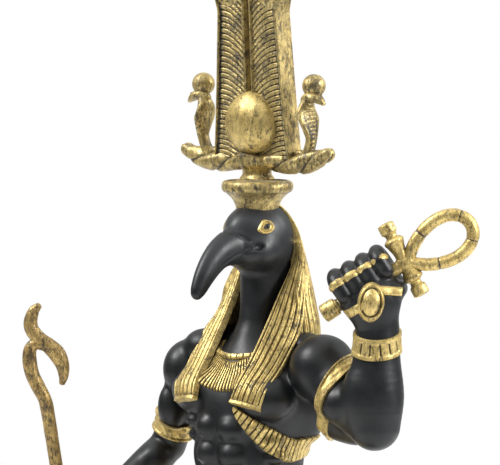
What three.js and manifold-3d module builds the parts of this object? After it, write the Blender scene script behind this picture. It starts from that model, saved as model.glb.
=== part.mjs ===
// An ibis-headed deity statuette in black and antique-gold painted resin, standing on a low plinth.
// Millimetres, +Z up. The figure faces -Y, its left side is +X, and the origin is under the plinth.
import * as THREE from "three";
import { mergeVertices } from "three/addons/utils/BufferGeometryUtils.js";
import Module from "manifold-3d";

const wasm = await Module();
wasm.setup();

// Driving sizes
const FIGURE_HEIGHT = 223; // sole to the top of the skull
const PLINTH_HEIGHT = 12;
const PLINTH_SIDE_MARGIN = 8; // from the sceptre's foot to the plinth's side
const PLINTH_END_MARGIN = 14; // from the leading toe to the plinth's front
const PLINTH_EDGE = 1.5; // slope round the top of the plinth
const GAP = 0.3; // clearance between pieces that touch
const SHAFT_RADIUS = 2; // sceptre rod
const STEM_HALF = 2; // half the thickness of the ankh's bars
const PLUME_HEIGHT = 56;
const PLUME_DEPTH = 5.4;
const DISK_RADIUS = 9.3;
const DISK_THICKNESS = 12;
const COBRA_DISK_RADIUS = 3.4;

// The body is a free form: its pose and proportions are shares of its height.
const BODY_UNITS = 223; // the height in the units that the pose below is written in
const unit = FIGURE_HEIGHT / BODY_UNITS;
const sole = PLINTH_HEIGHT + GAP;

const { Vector3, Matrix4 } = THREE;
const vec = (x, y, z) => new Vector3(x, y, z);
// A place on the figure: to its left, behind its middle, and above its soles.
const at = (x, y, z) => vec(x * unit, y * unit, sole + z * unit);
const UP = vec(0, 0, 1);

// Solids
function solid(geometry) {
  const bare = new THREE.BufferGeometry();
  bare.setAttribute("position", geometry.getAttribute("position"));
  if (geometry.index) bare.setIndex(geometry.index);
  const merged = mergeVertices(bare, 1e-4);
  const triVerts = new Uint32Array(merged.index.array);
  const vertProperties = new Float32Array(merged.attributes.position.array);
  const made = new wasm.Manifold(new wasm.Mesh({ numProp: 3, vertProperties, triVerts }));
  if (made.volume() >= 0) return made;
  return new wasm.Manifold(
    new wasm.Mesh({ numProp: 3, vertProperties, triVerts: triVerts.reverse() }),
  );
}
// Joined pieces are solid right through: a hollow that they close in between them is filled.
function join(pieces) {
  const whole = pieces.reduce((a, b) => a.add(b));
  const skins = whole.decompose();
  const outer = skins.filter((skin) => skin.volume() > 0);
  return outer.length < skins.length ? outer.reduce((a, b) => a.add(b)) : whole;
}

// A closed skin over rings of points, each ring closed by a fan from its own middle.
function loft(rings, firstTip, lastTip) {
  const sides = rings[0].length;
  const points = rings.flat();
  const middle = (ring) => ring.reduce((a, b) => a.add(b), vec(0, 0, 0)).divideScalar(sides);
  const first = points.push(firstTip ?? middle(rings[0])) - 1;
  const last = points.push(lastTip ?? middle(rings.at(-1))) - 1;
  const faces = [];
  for (let i = 0; i < sides; i++) {
    const next = (i + 1) % sides;
    faces.push(first, next, i);
    for (let k = 0; k + 1 < rings.length; k++) {
      const a = k * sides + i;
      const b = k * sides + next;
      faces.push(a, b, a + sides, b, b + sides, a + sides);
    }
    const top = (rings.length - 1) * sides;
    faces.push(last, top + i, top + next);
  }
  const geometry = new THREE.BufferGeometry().setFromPoints(points);
  geometry.setIndex(faces);
  return solid(geometry);
}

// A limb: [centre, radius across, radius along "up"] stations, with rounded ends.
const END_RING = 0.55; // where the ring that rounds an end sits, as a share of the end's radius
const END_SHARE = 0.8;
function limb(stations, sides = 10, side = vec(1, 0, 0), ends = 1) {
  const centres = stations.map((s) => s[0]);
  const rings = [];
  const ringAt = (centre, along, a, b) => {
    const u = side.clone().addScaledVector(along, -side.dot(along)).normalize();
    const v = along.clone().cross(u);
    return Array.from({ length: sides }, (_, i) => {
      const angle = (2 * Math.PI * i) / sides;
      return centre
        .clone()
        .addScaledVector(u, a * Math.cos(angle))
        .addScaledVector(v, b * Math.sin(angle));
    });
  };
  const tips = [];
  stations.forEach(([centre, a, b = a], i) => {
    const before = centres[Math.max(i - 1, 0)];
    const after = centres[Math.min(i + 1, centres.length - 1)];
    const along = after.clone().sub(before).normalize();
    const small = Math.min(a, b);
    const capping = (sign) => {
      const out = along.clone().multiplyScalar(sign * small * ends);
      tips.push(centre.clone().add(out));
      const shoulder = centre.clone().addScaledVector(out, END_RING);
      return ringAt(shoulder, along, a * END_SHARE, b * END_SHARE);
    };
    if (i === 0 && ends) rings.push(capping(-1));
    rings.push(ringAt(centre, along, a, b));
    if (i === stations.length - 1 && ends) rings.push(capping(1));
  });
  return loft(rings, tips[0], tips[1]);
}

// An ellipsoid in a frame of three directions.
const WORLD = [vec(1, 0, 0), vec(0, 1, 0), vec(0, 0, 1)];
function ball(centre, radii, frame = WORLD, across = 10, down = 5) {
  const geometry = new THREE.SphereGeometry(1, across, down).rotateX(Math.PI / 2);
  const [a, b, c] = frame.map((axis, i) => axis.clone().multiplyScalar(radii[i]));
  geometry.applyMatrix4(new Matrix4().makeBasis(a, b, c).setPosition(centre));
  return solid(geometry);
}
const grown = (radii) => radii.map((r) => r * unit);
const muscle = (place, radii, across, down) =>
  ball(at(...place), grown(radii), WORLD, across, down);
const mirrored = (make) => [make(1), make(-1)];

// Torso: level rings given by height, middle, half width and half depth.
const TORSO = [
  [117, 1, 15, 12.5],
  [126, 0.5, 18, 14],
  [134, 0, 17.5, 14],
  [140, -1, 16.2, 14.5],
  [147, -1.5, 16, 15],
  [154, -1.5, 18, 15.8],
  [162, -1, 21.5, 16.8],
  [170, -0.5, 24, 16.5],
  [177, 0, 24, 15],
  [183, 1, 20, 12],
  [188, 2, 12.5, 8.5],
  [194, 3, 6.4, 6.4],
  [206, 3.3, 6.1, 6.3],
];
function levelRing(z, y, w, d, sides, wave = () => 1) {
  return Array.from({ length: sides }, (_, i) => {
    const angle = (2 * Math.PI * i) / sides;
    const share = wave(i, angle);
    return at(w * share * Math.cos(angle), y + d * share * Math.sin(angle), z);
  });
}
const levelLoft = (rows, sides, wave) =>
  loft(rows.map(([z, y, w, d]) => levelRing(z, y, w, d, sides, wave)));

// Muscles in pairs: place on the left side, and radii
const BELLY = [
  [[4.1, -14.2, 157], [4.3, 3.4, 4.2]],
  [[4.1, -14.2, 149.5], [4.3, 3.4, 4]],
  [[4.1, -14.2, 142], [4.3, 3.4, 4.4]],
];
const CHEST = [[11.6, -9.6, 168.2], [12.4, 8.2, 8.4]];
const BACK = [[17.5, 7, 165], [8, 8.5, 15]];
const pair = ([[x, y, z], radii], across, down) =>
  mirrored((s) => muscle([s * x, y, z], radii, across, down));
function torso() {
  return join([
    levelLoft(TORSO, 14),
    ...BELLY.flatMap((row) => pair(row, 8, 4)),
    ...pair(CHEST, 9, 5),
    ...pair(BACK, 8, 5),
  ]);
}

// Head, with the long bill curving down, and the neck under it
const SKULL = [[0, 3.5, 213.3], [9.3, 12, 10]];
const EYE = [[7.4, -1.6, 216.4], [1.7, 3.6, 2.6]];
const BILL = [
  [-6, 211.8, 5.4, 6.2],
  [-10.5, 211, 4.6, 5.3],
  [-15.7, 209.6, 3.5, 4.3],
  [-19.7, 206.8, 2.9, 3.7],
  [-22.9, 203.3, 2.4, 3],
  [-25.1, 198.7, 1.7, 2],
  [-25.5, 196.6, 1.1, 1.2],
];
function head() {
  const bill = BILL.map(([by, bz, a, b]) => [at(0, by, bz), a * unit, b * unit]);
  return join([
    muscle(...SKULL, 10, 6),
    limb(bill, 8),
    ...pair(EYE, 8, 4),
  ]);
}

// The flared cap on the head that the crown stands on
const CAP_TOP = 230.6;
const CAP_PROFILE = [
  [0, 218],
  [6.6, 218],
  [6.5, 223],
  [7.2, 225.4],
  [9.6, 227.2],
  [10.7, 227.8],
  [10.7, 229.8],
  [10, CAP_TOP],
  [0, CAP_TOP],
];
const CAP_BACK = 2.4;
function cap() {
  const outline = CAP_PROFILE.map(([r, z]) => new THREE.Vector2(r * unit, z * unit));
  const geometry = new THREE.LatheGeometry(outline, 12).rotateX(Math.PI / 2);
  return solid(geometry.translate(0, CAP_BACK * unit, sole));
}

// Striped wig: grooved locks that fall behind the head and over each shoulder.
const WIG = [
  [223.5, 5, 5, 4.5],
  [220, 5.3, 8.6, 8],
  [215, 5.8, 11, 10.4],
  [205, 6.4, 14.2, 12.4],
  [193, 7, 16.8, 13],
  [184, 7.3, 18, 13.1],
  [166, 7.4, 17, 12.2],
];
const LOCK_DEPTH = 0.045; // groove depth as a share of the wig's radius
const WIG_FRONT = 3.5; // the wig keeps behind this line beside the head
// The inner and the outer edge of the left lappet, from the ear down to the hem
const LAPPET = [
  [[9, 5, 206], [13.5, 9, 206]],
  [[9, -0.5, 197], [16, 7, 196]],
  [[8.8, -6.5, 189.5], [18, 4, 187.5]],
  [[8.6, -12.5, 178.5], [19.2, -7.5, 176.5]],
  [[8, -17.4, 170], [18.8, -15, 168.6]],
  [[6.8, -19.6, 163.6], [17.6, -18.2, 160.4]],
];
const LAPPET_THICKNESS = 2.4;
const LOCK_GROOVE = 0.72; // thickness left in a lappet's grooves
const LAPPET_LOCKS = 4;
function lappet(s) {
  const steps = 2 * LAPPET_LOCKS + 1;
  const edges = LAPPET.map((pair) => pair.map(([x, y, z]) => at(s * x, y, z)));
  const rings = edges.map(([inner, outer], k) => {
    const near = edges[Math.max(k - 1, 0)][0];
    const far = edges[Math.min(k + 1, edges.length - 1)][0];
    const across = outer.clone().sub(inner);
    const out = far.clone().sub(near).cross(across).multiplyScalar(s).normalize();
    const front = Array.from({ length: steps }, (_, i) => {
      const share = i / (steps - 1);
      const crest = i % 2 ? 1 : LOCK_GROOVE;
      return [share, LAPPET_THICKNESS * crest * Math.sin(Math.PI * (0.12 + 0.76 * share))];
    });
    const back = [[0.9, -LAPPET_THICKNESS], [0.1, -LAPPET_THICKNESS]];
    return [...front, ...back].map(([share, rise]) =>
      inner.clone().addScaledVector(across, share).addScaledVector(out, rise * unit),
    );
  });
  return loft(rings);
}
function wig() {
  const locks = (i) => 1 - (i % 2 ? LOCK_DEPTH : 0);
  const back = levelLoft(WIG, 20, locks);
  const reach = FIGURE_HEIGHT; // larger than the wig every way
  const front = new THREE.BoxGeometry(reach, reach, reach);
  front.translate(0, WIG_FRONT * unit - reach / 2, sole + WIG[0][0] * unit);
  return join([back.subtract(solid(front)), ...mirrored(lappet)]);
}

// Collar: a fan of narrow petals on the chest, under a rope round the neck.
const COLLAR = [
  [166.5, 0, 17, 18],
  [173, 0, 19.6, 17.4],
  [182, 0.8, 16.5, 13.4],
  [186.4, 1.2, 9.4, 9.4],
  [187, 1.2, 10.4, 10.8],
  [189.2, 1.8, 10, 10.2],
  [190.4, 2, 8, 8.2],
];
const PETALS = 12;
const PETAL_DEPTH = 0.03; // groove depth as a share of the collar's radius
function collar() {
  return levelLoft(COLLAR, PETALS * 2, (i) => 1 - (i % 2 ? PETAL_DEPTH : 0));
}

// Feathered band: it starts as a point under each lappet, widens down the flank and runs round the back.
const BAND_START = THREE.MathUtils.degToRad(23); // from the middle of the belly
const BAND_SLATS = 18;
const BAND = { front: 163, side: 153.6, drop: 7.2, middle: -1, across: 18.8, deep: 17.4, raise: 0.7 };
const BAND_TAPER = 0.22; // share of the band's length in which it reaches its full width
const BAND_ROOT = 4; // how far the band goes into the body
function band() {
  const steps = BAND_SLATS * 2;
  const half = Math.PI - BAND_START;
  const rings = Array.from({ length: steps + 1 }, (_, i) => {
    const turn = BAND_START + (2 * half * i) / steps; // from the belly, round the back
    const share = Math.min(1, Math.min(i, steps - i) / (steps * BAND_TAPER));
    const eased = share * share * (3 - 2 * share);
    const high = BAND.front + (BAND.side - BAND.front) * eased;
    const low = high - 1 - (BAND.drop - 1) * Math.sqrt(share);
    const raise = i % 2 ? BAND.raise : 0;
    const put = (out, z) =>
      at(
        (BAND.across + out) * Math.sin(turn),
        BAND.middle - (BAND.deep + out) * Math.cos(turn),
        z,
      );
    return [put(-BAND_ROOT, low), put(raise, low), put(raise, high), put(-BAND_ROOT, high)];
  });
  return loft(rings);
}

// Arms
const SHOULDER = { left: [27.5, 0.5, 176], right: [-24.5, 0.5, 173.5] };
const ELBOW = { left: [50.4, -3, 161], right: [-36.5, 1.5, 147.5] };
const WRIST = { left: [51.4, -3, 190], right: [-43.2, -23, 128] };
const GRIP = { left: [48.1, -4.3, 201.4], right: [-45.5, -31.5, 122] };
const mix = (a, b, t) => a.map((v, i) => v + (b[i] - v) * t);
const swell = (points, sides, ends) =>
  limb(points.map(([p, a, b = a]) => [at(...p), a * unit, b * unit]), sides, vec(0.6, 0.8, 0), ends);
// A limb from one joint to the next, as shares of its length with a radius at each; a band round it
// is a step out and back in.
const BAND_STEP = 0.015;
function arm(from, to, profile) {
  return swell(profile.map(([share, radius]) => [mix(from, to, share), radius]), 8);
}
const bandOf = (start, end, radius, raise) => [
  [start, radius],
  [start + BAND_STEP, radius + raise],
  [end - BAND_STEP, radius + raise],
  [end, radius],
];
function leftArm() {
  const [s, e, w] = [SHOULDER.left, ELBOW.left, WRIST.left];
  return join([
    arm(s, e, [[0, 9.8], ...bandOf(0.3, 0.46, 9.3, 1.2), [0.8, 7.8], [1, 7]]),
    arm(e, w, [[0, 7.4], [0.3, 8.3], ...bandOf(0.62, 0.9, 7, 0.8), [1, 6.4]]),
    muscle([41, -6.5, 167.5], [6, 6.5, 6.5], 8, 5),
  ]);
}
function rightArm() {
  const [s, e, w] = [SHOULDER.right, ELBOW.right, WRIST.right];
  return join([
    arm(s, e, [[0, 8.8], [0.4, 7.4], ...bandOf(0.68, 0.86, 6.3, 1.1), [1, 6.2]]),
    arm(e, w, [[0, 6.3], [0.25, 7.2], ...bandOf(0.7, 0.92, 5.2, 0.8), [1, 4.8]]),
    muscle([-26.2, -0.5, 171], [7.4, 8.8, 11.5], 8, 6),
  ]);
}

// Fists, each in a frame of grip axis, back of the hand and knuckles
const FINGER_RADIUS = 2.28;
const FINGER_PITCH = 4.6;
const FINGER_PATH = [[5, 2], [3.6, 6.2], [-1.5, 7], [-6, 4], [-6.4, -3]];
const THUMB_PATH = [[7, 3, -5], [7.6, -4, -5], [5.5, -8.6, -2.5], [1.5, -8.8, -1]];
const PALM = [[0, 0.5, -1.5], [9.2, 7, 7.5]];
const HEEL = [[0.5, 3, -5], [7.6, 5, 6]];
function fist(centre, frame) {
  const place = (g, b, f) => {
    const point = centre.clone();
    [g, b, f].forEach((v, i) => point.addScaledVector(frame[i], v * unit));
    return point;
  };
  const fingers = Array.from({ length: 4 }, (_, i) => {
    const g = (i - 1.5) * FINGER_PITCH;
    const path = FINGER_PATH.map(([b, f]) => [place(g, b, f), FINGER_RADIUS * unit]);
    return limb(path, 5, frame[0], 0);
  });
  return join([
    ball(place(...PALM[0]), grown(PALM[1]), frame, 8, 5),
    ball(place(...HEEL[0]), grown(HEEL[1]), frame, 8, 4),
    limb(THUMB_PATH.map((p) => [place(...p), FINGER_RADIUS * unit]), 5, frame[2], 0),
    ...fingers,
  ]);
}

// Ankh: its axis runs up and outward through the raised fist
const ANKH_TURN = THREE.MathUtils.degToRad(35);
const ANKH_RISE = THREE.MathUtils.degToRad(32.2);
const ankhAxis = vec(
  Math.cos(ANKH_TURN) * Math.cos(ANKH_RISE),
  Math.sin(ANKH_TURN) * Math.cos(ANKH_RISE),
  Math.sin(ANKH_RISE),
);
const ankhArm = vec(
  -Math.cos(ANKH_TURN) * Math.sin(ANKH_RISE),
  -Math.sin(ANKH_TURN) * Math.sin(ANKH_RISE),
  Math.cos(ANKH_RISE),
);
const ankhFace = ankhAxis.clone().cross(ankhArm);
const leftGrip = at(...GRIP.left);
const ankhPoint = (along, up) =>
  leftGrip.clone().addScaledVector(ankhAxis, along).addScaledVector(ankhArm, up);

const ANKH_TAIL = 15.5; // grip to the tail end
const ANKH_CROSSING = 13; // grip to the crossing
const ANKH_ARM_REACH = 11.3;
const ANKH_LOOP_LENGTH = 21.6;
const ANKH_LOOP_HALF = 6.1;
const ANKH_LOOP_LIFT = 0.09; // the loop leans this far over for each millimetre of its length
const ANKH_LOOP_START = 1.6; // crossing to the middle of the loop's tube
const LOOP_STEPS = 12;
// Half widths along the bars, as shares of STEM_HALF
const STEM_END = 1.35;
const ARM_FLARE = 1.3;
const ARM_KNOB = 1.55;
const ARM_TIP = 1.45;
const BAR_SIDES = 6;
function bar(points) {
  return limb(points.map(([a, u, w, t = w]) => [ankhPoint(a, u), t, w]), BAR_SIDES, ankhFace, 0);
}
// The space that the fist leaves round the stem
function stemHole() {
  const half = STEM_HALF + 1.5 * GAP;
  return bar([[-ANKH_TAIL - GAP, 0, half], [ANKH_CROSSING, 0, half]]);
}
function ankh() {
  const loop = [];
  for (let i = 0; i < LOOP_STEPS; i++) {
    const turn = (2 * Math.PI * i) / LOOP_STEPS;
    const along = (1 - Math.cos(turn)) / 2;
    const wide = Math.sin(turn) * Math.pow(along, 0.35);
    const reach = along * ANKH_LOOP_LENGTH;
    loop.push([reach, wide * ANKH_LOOP_HALF + reach * ANKH_LOOP_LIFT]);
  }
  const rings = loop.map(([a, u], i) => {
    const before = loop.at(i - 1);
    const after = loop[(i + 1) % LOOP_STEPS];
    const dir = new THREE.Vector2(after[0] - before[0], after[1] - before[1]).normalize();
    return Array.from({ length: BAR_SIDES }, (_, k) => {
      const angle = (2 * Math.PI * k) / BAR_SIDES;
      const outward = STEM_HALF * 0.92 * Math.cos(angle);
      const along = ANKH_CROSSING + ANKH_LOOP_START + a + dir.y * outward;
      return ankhPoint(along, u - dir.x * outward).addScaledVector(
        ankhFace,
        STEM_HALF * Math.sin(angle),
      );
    });
  });
  const halves = [0, LOOP_STEPS / 2].map((start) =>
    loft(Array.from({ length: LOOP_STEPS / 2 + 1 }, (_, k) => rings[(start + k) % LOOP_STEPS])),
  );
  const arms = mirrored((s) =>
    bar([
      [ANKH_CROSSING, 0, STEM_HALF],
      [ANKH_CROSSING, s * ANKH_ARM_REACH * 0.75, STEM_HALF * ARM_FLARE],
      [ANKH_CROSSING, s * ANKH_ARM_REACH * 0.76, STEM_HALF * ARM_KNOB],
      [ANKH_CROSSING, s * ANKH_ARM_REACH, STEM_HALF * ARM_TIP],
    ]),
  );
  const tail = bar([
    [-ANKH_TAIL, 0, STEM_HALF * STEM_END],
    [-ANKH_TAIL * 0.8, 0, STEM_HALF * ARM_FLARE],
    [-ANKH_TAIL * 0.65, 0, STEM_HALF],
    [ANKH_CROSSING + STEM_HALF, 0, STEM_HALF],
  ]);
  const boss = ball(
    ankhPoint(ANKH_CROSSING, 0),
    [STEM_HALF * 1.5, STEM_HALF * 1.4, STEM_HALF * 1.1],
    [ankhAxis, ankhArm, ankhFace],
    8,
    6,
  );
  return join([tail, boss, ...arms, ...halves]);
}

// Sceptre: a leaning rod from the plinth through the lowered fist
const rightGrip = at(...GRIP.right);
const SCEPTRE_LEAN = vec(-0.0615, -0.1385, 1);
const sceptreAt = (z) =>
  rightGrip.clone().addScaledVector(SCEPTRE_LEAN, z - rightGrip.z);
const SCEPTRE_TOP = 171; // where the rod meets the animal's neck, above the sole
const NECK_START = 8; // the rod ends inside the neck, this far below that
const FERRULE_HEIGHT = 6;
const FERRULE_FOOT = 1.5; // radius as a share of the rod's
const FERRULE_TOP = 1.2;
const SNOUT = vec(0.8, 0.6, 0);
const SCEPTRE_HEAD = [
  [0.6, -10, 2],
  [-0.6, -4, 2],
  [-3.2, 1, 2.3],
  [-4.6, 5.4, 2.6],
  [-3.2, 9.8, 3],
  [0, 10.8, 2.8],
  [3.2, 8.2, 2.3],
  [4.6, 3.6, 1.8],
  [4.4, -1.8, 0.8],
];
const SCEPTRE_EAR = [
  [-3.4, 10, 2],
  [-6, 14.6, 1.9],
  [-5.4, 19, 1.5],
  [-2.6, 22, 0.7],
];
// Everything below the soles, to cut feet and sceptre off flat
function ground() {
  const reach = FIGURE_HEIGHT; // larger than the footprint
  return solid(new THREE.BoxGeometry(reach, reach, reach).translate(0, 0, sole - reach / 2));
}
function rod(extra, from, to) {
  const r = SHAFT_RADIUS + extra;
  return limb([[sceptreAt(from), r], [sceptreAt(to), r]], 10, vec(1, 0, 0), 0);
}
function sceptre() {
  const top = sceptreAt(sole + SCEPTRE_TOP * unit);
  const drawn = (rows) =>
    rows.map(([h, z, r]) => [
      top.clone().addScaledVector(SNOUT, h * unit).addScaledVector(UP, z * unit),
      r * unit,
    ]);
  const foot = PLINTH_HEIGHT;
  const ferrule = limb(
    [
      [sceptreAt(foot), SHAFT_RADIUS * FERRULE_FOOT],
      [sceptreAt(foot + FERRULE_HEIGHT), SHAFT_RADIUS * FERRULE_TOP],
    ],
    10,
    vec(1, 0, 0),
    0,
  );
  const across = vec(-SNOUT.y, SNOUT.x, 0);
  return join([
    rod(0, foot, sole + (SCEPTRE_TOP - NECK_START) * unit),
    ferrule,
    limb(drawn(SCEPTRE_HEAD), 7, across),
    limb(drawn(SCEPTRE_EAR), 6, across),
  ]).subtract(ground());
}

// Legs, feet and the pleated kilt
const HIP = [9, 0, 118];
const LEGS = {
  left: { knee: [11, -8, 62], ankle: [11.5, -8, 8], toe: -34, heel: -3.5 },
  right: { knee: [-10.5, 9, 62], ankle: [-11.5, 26, 8], toe: 1, heel: 31.5 },
}; // toe and heel are places from front to back
// Shares of each bone's length, with the radius there and how far the flesh stands back of it
const THIGH = [[0.3, 9.5, 0], [0.8, 7.6, 0], [1, 6.8, 0]];
const SHIN = [[0, 6.8, 0], [0.3, 7.6, 1.2], [0.62, 6, 0], [0.88, 4.6, 0], [1, 4.8, 0]];
// Shares of the way from heel to toe, with half width and half height
const FOOT = [[0, 4.6, 3.6], [0.28, 4.8, 4.6], [0.55, 5.2, 3.6], [0.82, 5.9, 2.6], [1, 5.4, 2.2]];
const SOLE_CUT = 0.92; // the foot's middle is this share of its half height above the ground
const TOE_OUT = 1.6;
const bone = (from, to, profile) =>
  swell(
    profile.map(([share, radius, back]) => {
      const [x, y, z] = mix(from, to, share);
      return [[x, y + back, z], radius];
    }),
    8,
  );
function leg({ knee, ankle, toe, heel }) {
  const s = Math.sign(knee[0]);
  const hip = [s * HIP[0], HIP[1], HIP[2]];
  const [firstHalf, lastHalf] = [FOOT[0][1], FOOT.at(-1)[1]];
  const back = [ankle[0], heel + firstHalf, 0];
  const front = [ankle[0] + s * TOE_OUT, toe + lastHalf, 0];
  const foot = FOOT.map(([share, half, high]) => {
    const [x, y] = mix(back, front, share);
    return [at(x, y, high * SOLE_CUT), half * unit, high * unit];
  });
  return join([bone(hip, knee, THIGH), bone(knee, ankle, SHIN), limb(foot, 8)]).subtract(ground());
}
const KILT = [
  [76, -0.5, 21.2, 20.8],
  [106, 0.1, 21, 18.4],
  [134, 0, 18.4, 15.2],
];
const KILT_PLEATS = 18;
const PLEAT_DEPTH = 0.035; // groove depth as a share of the kilt's radius
const BELT = [
  [133, -0.2, 18, 15.4],
  [133.6, -0.2, 19.2, 16.4],
  [139.4, -0.8, 18.4, 16.4],
  [140, -0.8, 17, 15.2],
];
// Height, half width, and the places of the front and of the root inside the kilt
const APRON = [
  [84, 9, -20.6, -16],
  [90, 9.4, -21.4, -15],
  [118, 6, -19.6, -13],
  [138, 3.6, -18, -12],
];
// Across the apron: share of its half width, and how far it curves back there
const APRON_CURVE = [[-1, 1.4], [-0.5, 0], [0, -0.6], [0.5, 0], [1, 1.4]];
function kilt() {
  const pleats = (i) => 1 - (i % 2 ? PLEAT_DEPTH : 0);
  const apron = loft(
    APRON.map(([z, half, front, root]) => [
      ...APRON_CURVE.map(([share, back]) => at(half * share, front + back, z)),
      at(half, root, z),
      at(-half, root, z),
    ]),
  );
  return join([levelLoft(KILT, KILT_PLEATS * 2, pleats), levelLoft(BELT, 16), apron]);
}

function figure() {
  const left = [ankhAxis, ankhAxis.clone().cross(ankhArm), ankhArm];
  const gripAxis = SCEPTRE_LEAN.clone().normalize();
  const forward = vec(0, -1, 0);
  forward.addScaledVector(gripAxis, -forward.dot(gripAxis)).normalize();
  const right = [gripAxis, forward.clone().cross(gripAxis), forward];
  const body = join([
    torso(),
    head(),
    cap(),
    wig(),
    collar(),
    band(),
    leftArm(),
    rightArm(),
    kilt(),
    leg(LEGS.left),
    leg(LEGS.right),
    fist(leftGrip, left),
    fist(rightGrip, right),
  ]);
  return body.subtract(stemHole()).subtract(rod(GAP, sole, sole + FIGURE_HEIGHT));
}

// Crown, in its own frame on the cap, leaning a little forward
const CROWN_LEAN = THREE.MathUtils.degToRad(3);
const HORN = [
  [0, 5, 3],
  [5, 5.4, 2.7],
  [10, 5.3, 2.7],
  [15, 4.4, 2.7],
  [21, 4.8, 2.5],
  [26.4, 6.4, 1.9],
  [30.4, 9, 0.7],
];
// A plume: a panel of barbs that rise outward, between a rim on each edge, with a curl at the top.
const PLUME_BOTTOM = 6.5; // above the foot of the crown
const PLUME_FOOT_HALF = 14.4;
const PLUME_TOP_HALF = 10.9;
const PLUME_SLIT = 0.8; // half the slit between the two plumes
const RIM_HALF = 1.05;
const CURL_HEIGHT = 6;
const CURL_HALF = 6;
const CURL_INSET = 3.2; // from the plume's edge to the curl's middle
const CURL_SWELL = 1.15;
const BARB_PITCH = 5;
const BARB_RISE = 3.2;
const BARB_DEPTH = 0.5;
const PANEL_DEPTH = 0.6; // how far the barbs lie behind the rims
const RIM_SLOPE = 0.5;
const plumeTop = PLUME_BOTTOM + PLUME_HEIGHT;
const plumeEdge = (z) => {
  const share = Math.min(1, (z - PLUME_BOTTOM) / (PLUME_HEIGHT - CURL_HEIGHT));
  return PLUME_FOOT_HALF + (PLUME_TOP_HALF - PLUME_FOOT_HALF) * Math.pow(share, 0.8);
};
function feather(s) {
  const half = PLUME_DEPTH / 2;
  const inner = PLUME_SLIT + 2 * RIM_HALF;
  const last = plumeTop - CURL_HEIGHT;
  const row = (z, y) => {
    const high = Math.min(z + BARB_RISE, last);
    const edge = plumeEdge(high);
    const outer = edge - 2 * RIM_HALF;
    return [
      vec(s * PLUME_SLIT, -half, z),
      vec(s * (inner - RIM_SLOPE), -half, z),
      vec(s * inner, -y, z),
      vec(s * outer, -y, high),
      vec(s * (outer + RIM_SLOPE), -half, high),
      vec(s * edge, -half, high),
      vec(s * edge, half, high),
      vec(s * PLUME_SLIT, half, z),
    ];
  };
  const crest = half - PANEL_DEPTH;
  const groove = crest - BARB_DEPTH;
  const panel = [];
  const count = Math.floor((last - PLUME_BOTTOM - BARB_RISE) / BARB_PITCH);
  for (let i = 0; i <= count; i++) {
    const z = PLUME_BOTTOM + i * BARB_PITCH;
    panel.push(row(z, groove), row(z + BARB_PITCH * 0.7, crest));
  }
  const curl = vec(s * (PLUME_TOP_HALF - CURL_INSET), 0, plumeTop - CURL_HEIGHT);
  return loft(panel).add(ball(curl, [CURL_HALF, half * CURL_SWELL, CURL_HEIGHT], WORLD, 8, 4));
}
// A cobra standing on each horn: places outward and upward of its middle, and half sizes
const COBRA_PLACE = 22.2;
const COBRA_BACK = 1.4;
const COBRA_TOP = 26.2;
const COBRA_HOOD = [
  [-1.2, 5, 3, 2],
  [-0.4, 9, 3.4, 1.6],
  [0.6, 14, 4.4, 1.5],
  [0.4, 18.5, 4.2, 1.5],
  [0, COBRA_TOP, 1.9, 1.6],
];
const COBRA_FACE = [
  [-0.6, 23, 2, 1.8],
  [2, 24.4, 2, 1.6],
  [4.2, 23.8, 1.2, 0.9],
];
const COBRA_DISK_SEAT = 0.76; // share of its radius that the disk's middle is above the head
function cobra(s) {
  const place = (out, z) => vec(s * (COBRA_PLACE + out), COBRA_BACK, z);
  const drawn = (rows) => rows.map(([out, z, a, b]) => [place(out, z), a, b]);
  const disk = place(-0.4, COBRA_TOP + COBRA_DISK_RADIUS * COBRA_DISK_SEAT);
  return join([
    limb(drawn(COBRA_HOOD), 6, vec(0, 1, 0), 0),
    limb(drawn(COBRA_FACE), 5, vec(0, 1, 0), 0.6),
    ball(disk, Array(3).fill(COBRA_DISK_RADIUS), WORLD, 8, 5),
  ]);
}
const CROWN_STEM = [[0, 5.4, 4.6], [1.6, 4.4, 3.8], [6, 4.8, 3.6]];
const STEM_SIDES = 12;
const DISK_PLACE = [0, -1, 17.1];
function crown() {
  const stemRings = CROWN_STEM.map(([z, w, d]) =>
    Array.from({ length: STEM_SIDES }, (_, i) => {
      const angle = (2 * Math.PI * i) / STEM_SIDES;
      return vec(w * Math.cos(angle), d * Math.sin(angle), z);
    }),
  );
  const horn = (s) =>
    limb(HORN.map(([x, z, r]) => [vec(s * x, 0, z), r]), 6, vec(0, 1, 0));
  return join([
    loft(stemRings),
    ...mirrored(horn),
    ...mirrored(feather),
    ...mirrored(cobra),
    ball(vec(...DISK_PLACE), [DISK_RADIUS, DISK_THICKNESS / 2, DISK_RADIUS], WORLD, 12, 6),
  ]);
}

// Plinth
function plinth() {
  const level = (z, cut) => {
    const w = Math.abs(sceptreAt(sole).x) + PLINTH_SIDE_MARGIN - cut;
    const d = Math.abs(LEGS.left.toe) * unit + PLINTH_END_MARGIN - cut;
    return [vec(w, -d, z), vec(w, d, z), vec(-w, d, z), vec(-w, -d, z)];
  };
  return loft([
    level(0, 0),
    level(PLINTH_HEIGHT - PLINTH_EDGE, 0),
    level(PLINTH_HEIGHT, PLINTH_EDGE),
  ]);
}

const BLACK = { color: 0x17171a, roughness: 0.5, metalness: 0 };
const GOLD = { color: 0x9c7a3a, roughness: 0.45, metalness: 0.6 };
function piece(name, shape, look) {
  const { vertProperties, triVerts } = shape.getMesh();
  const geometry = new THREE.BufferGeometry();
  geometry.setAttribute("position", new THREE.BufferAttribute(vertProperties, 3));
  geometry.setIndex(new THREE.BufferAttribute(triVerts, 1));
  geometry.computeVertexNormals();
  const mesh = new THREE.Mesh(geometry, new THREE.MeshStandardMaterial(look));
  mesh.name = name;
  return mesh;
}

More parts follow.
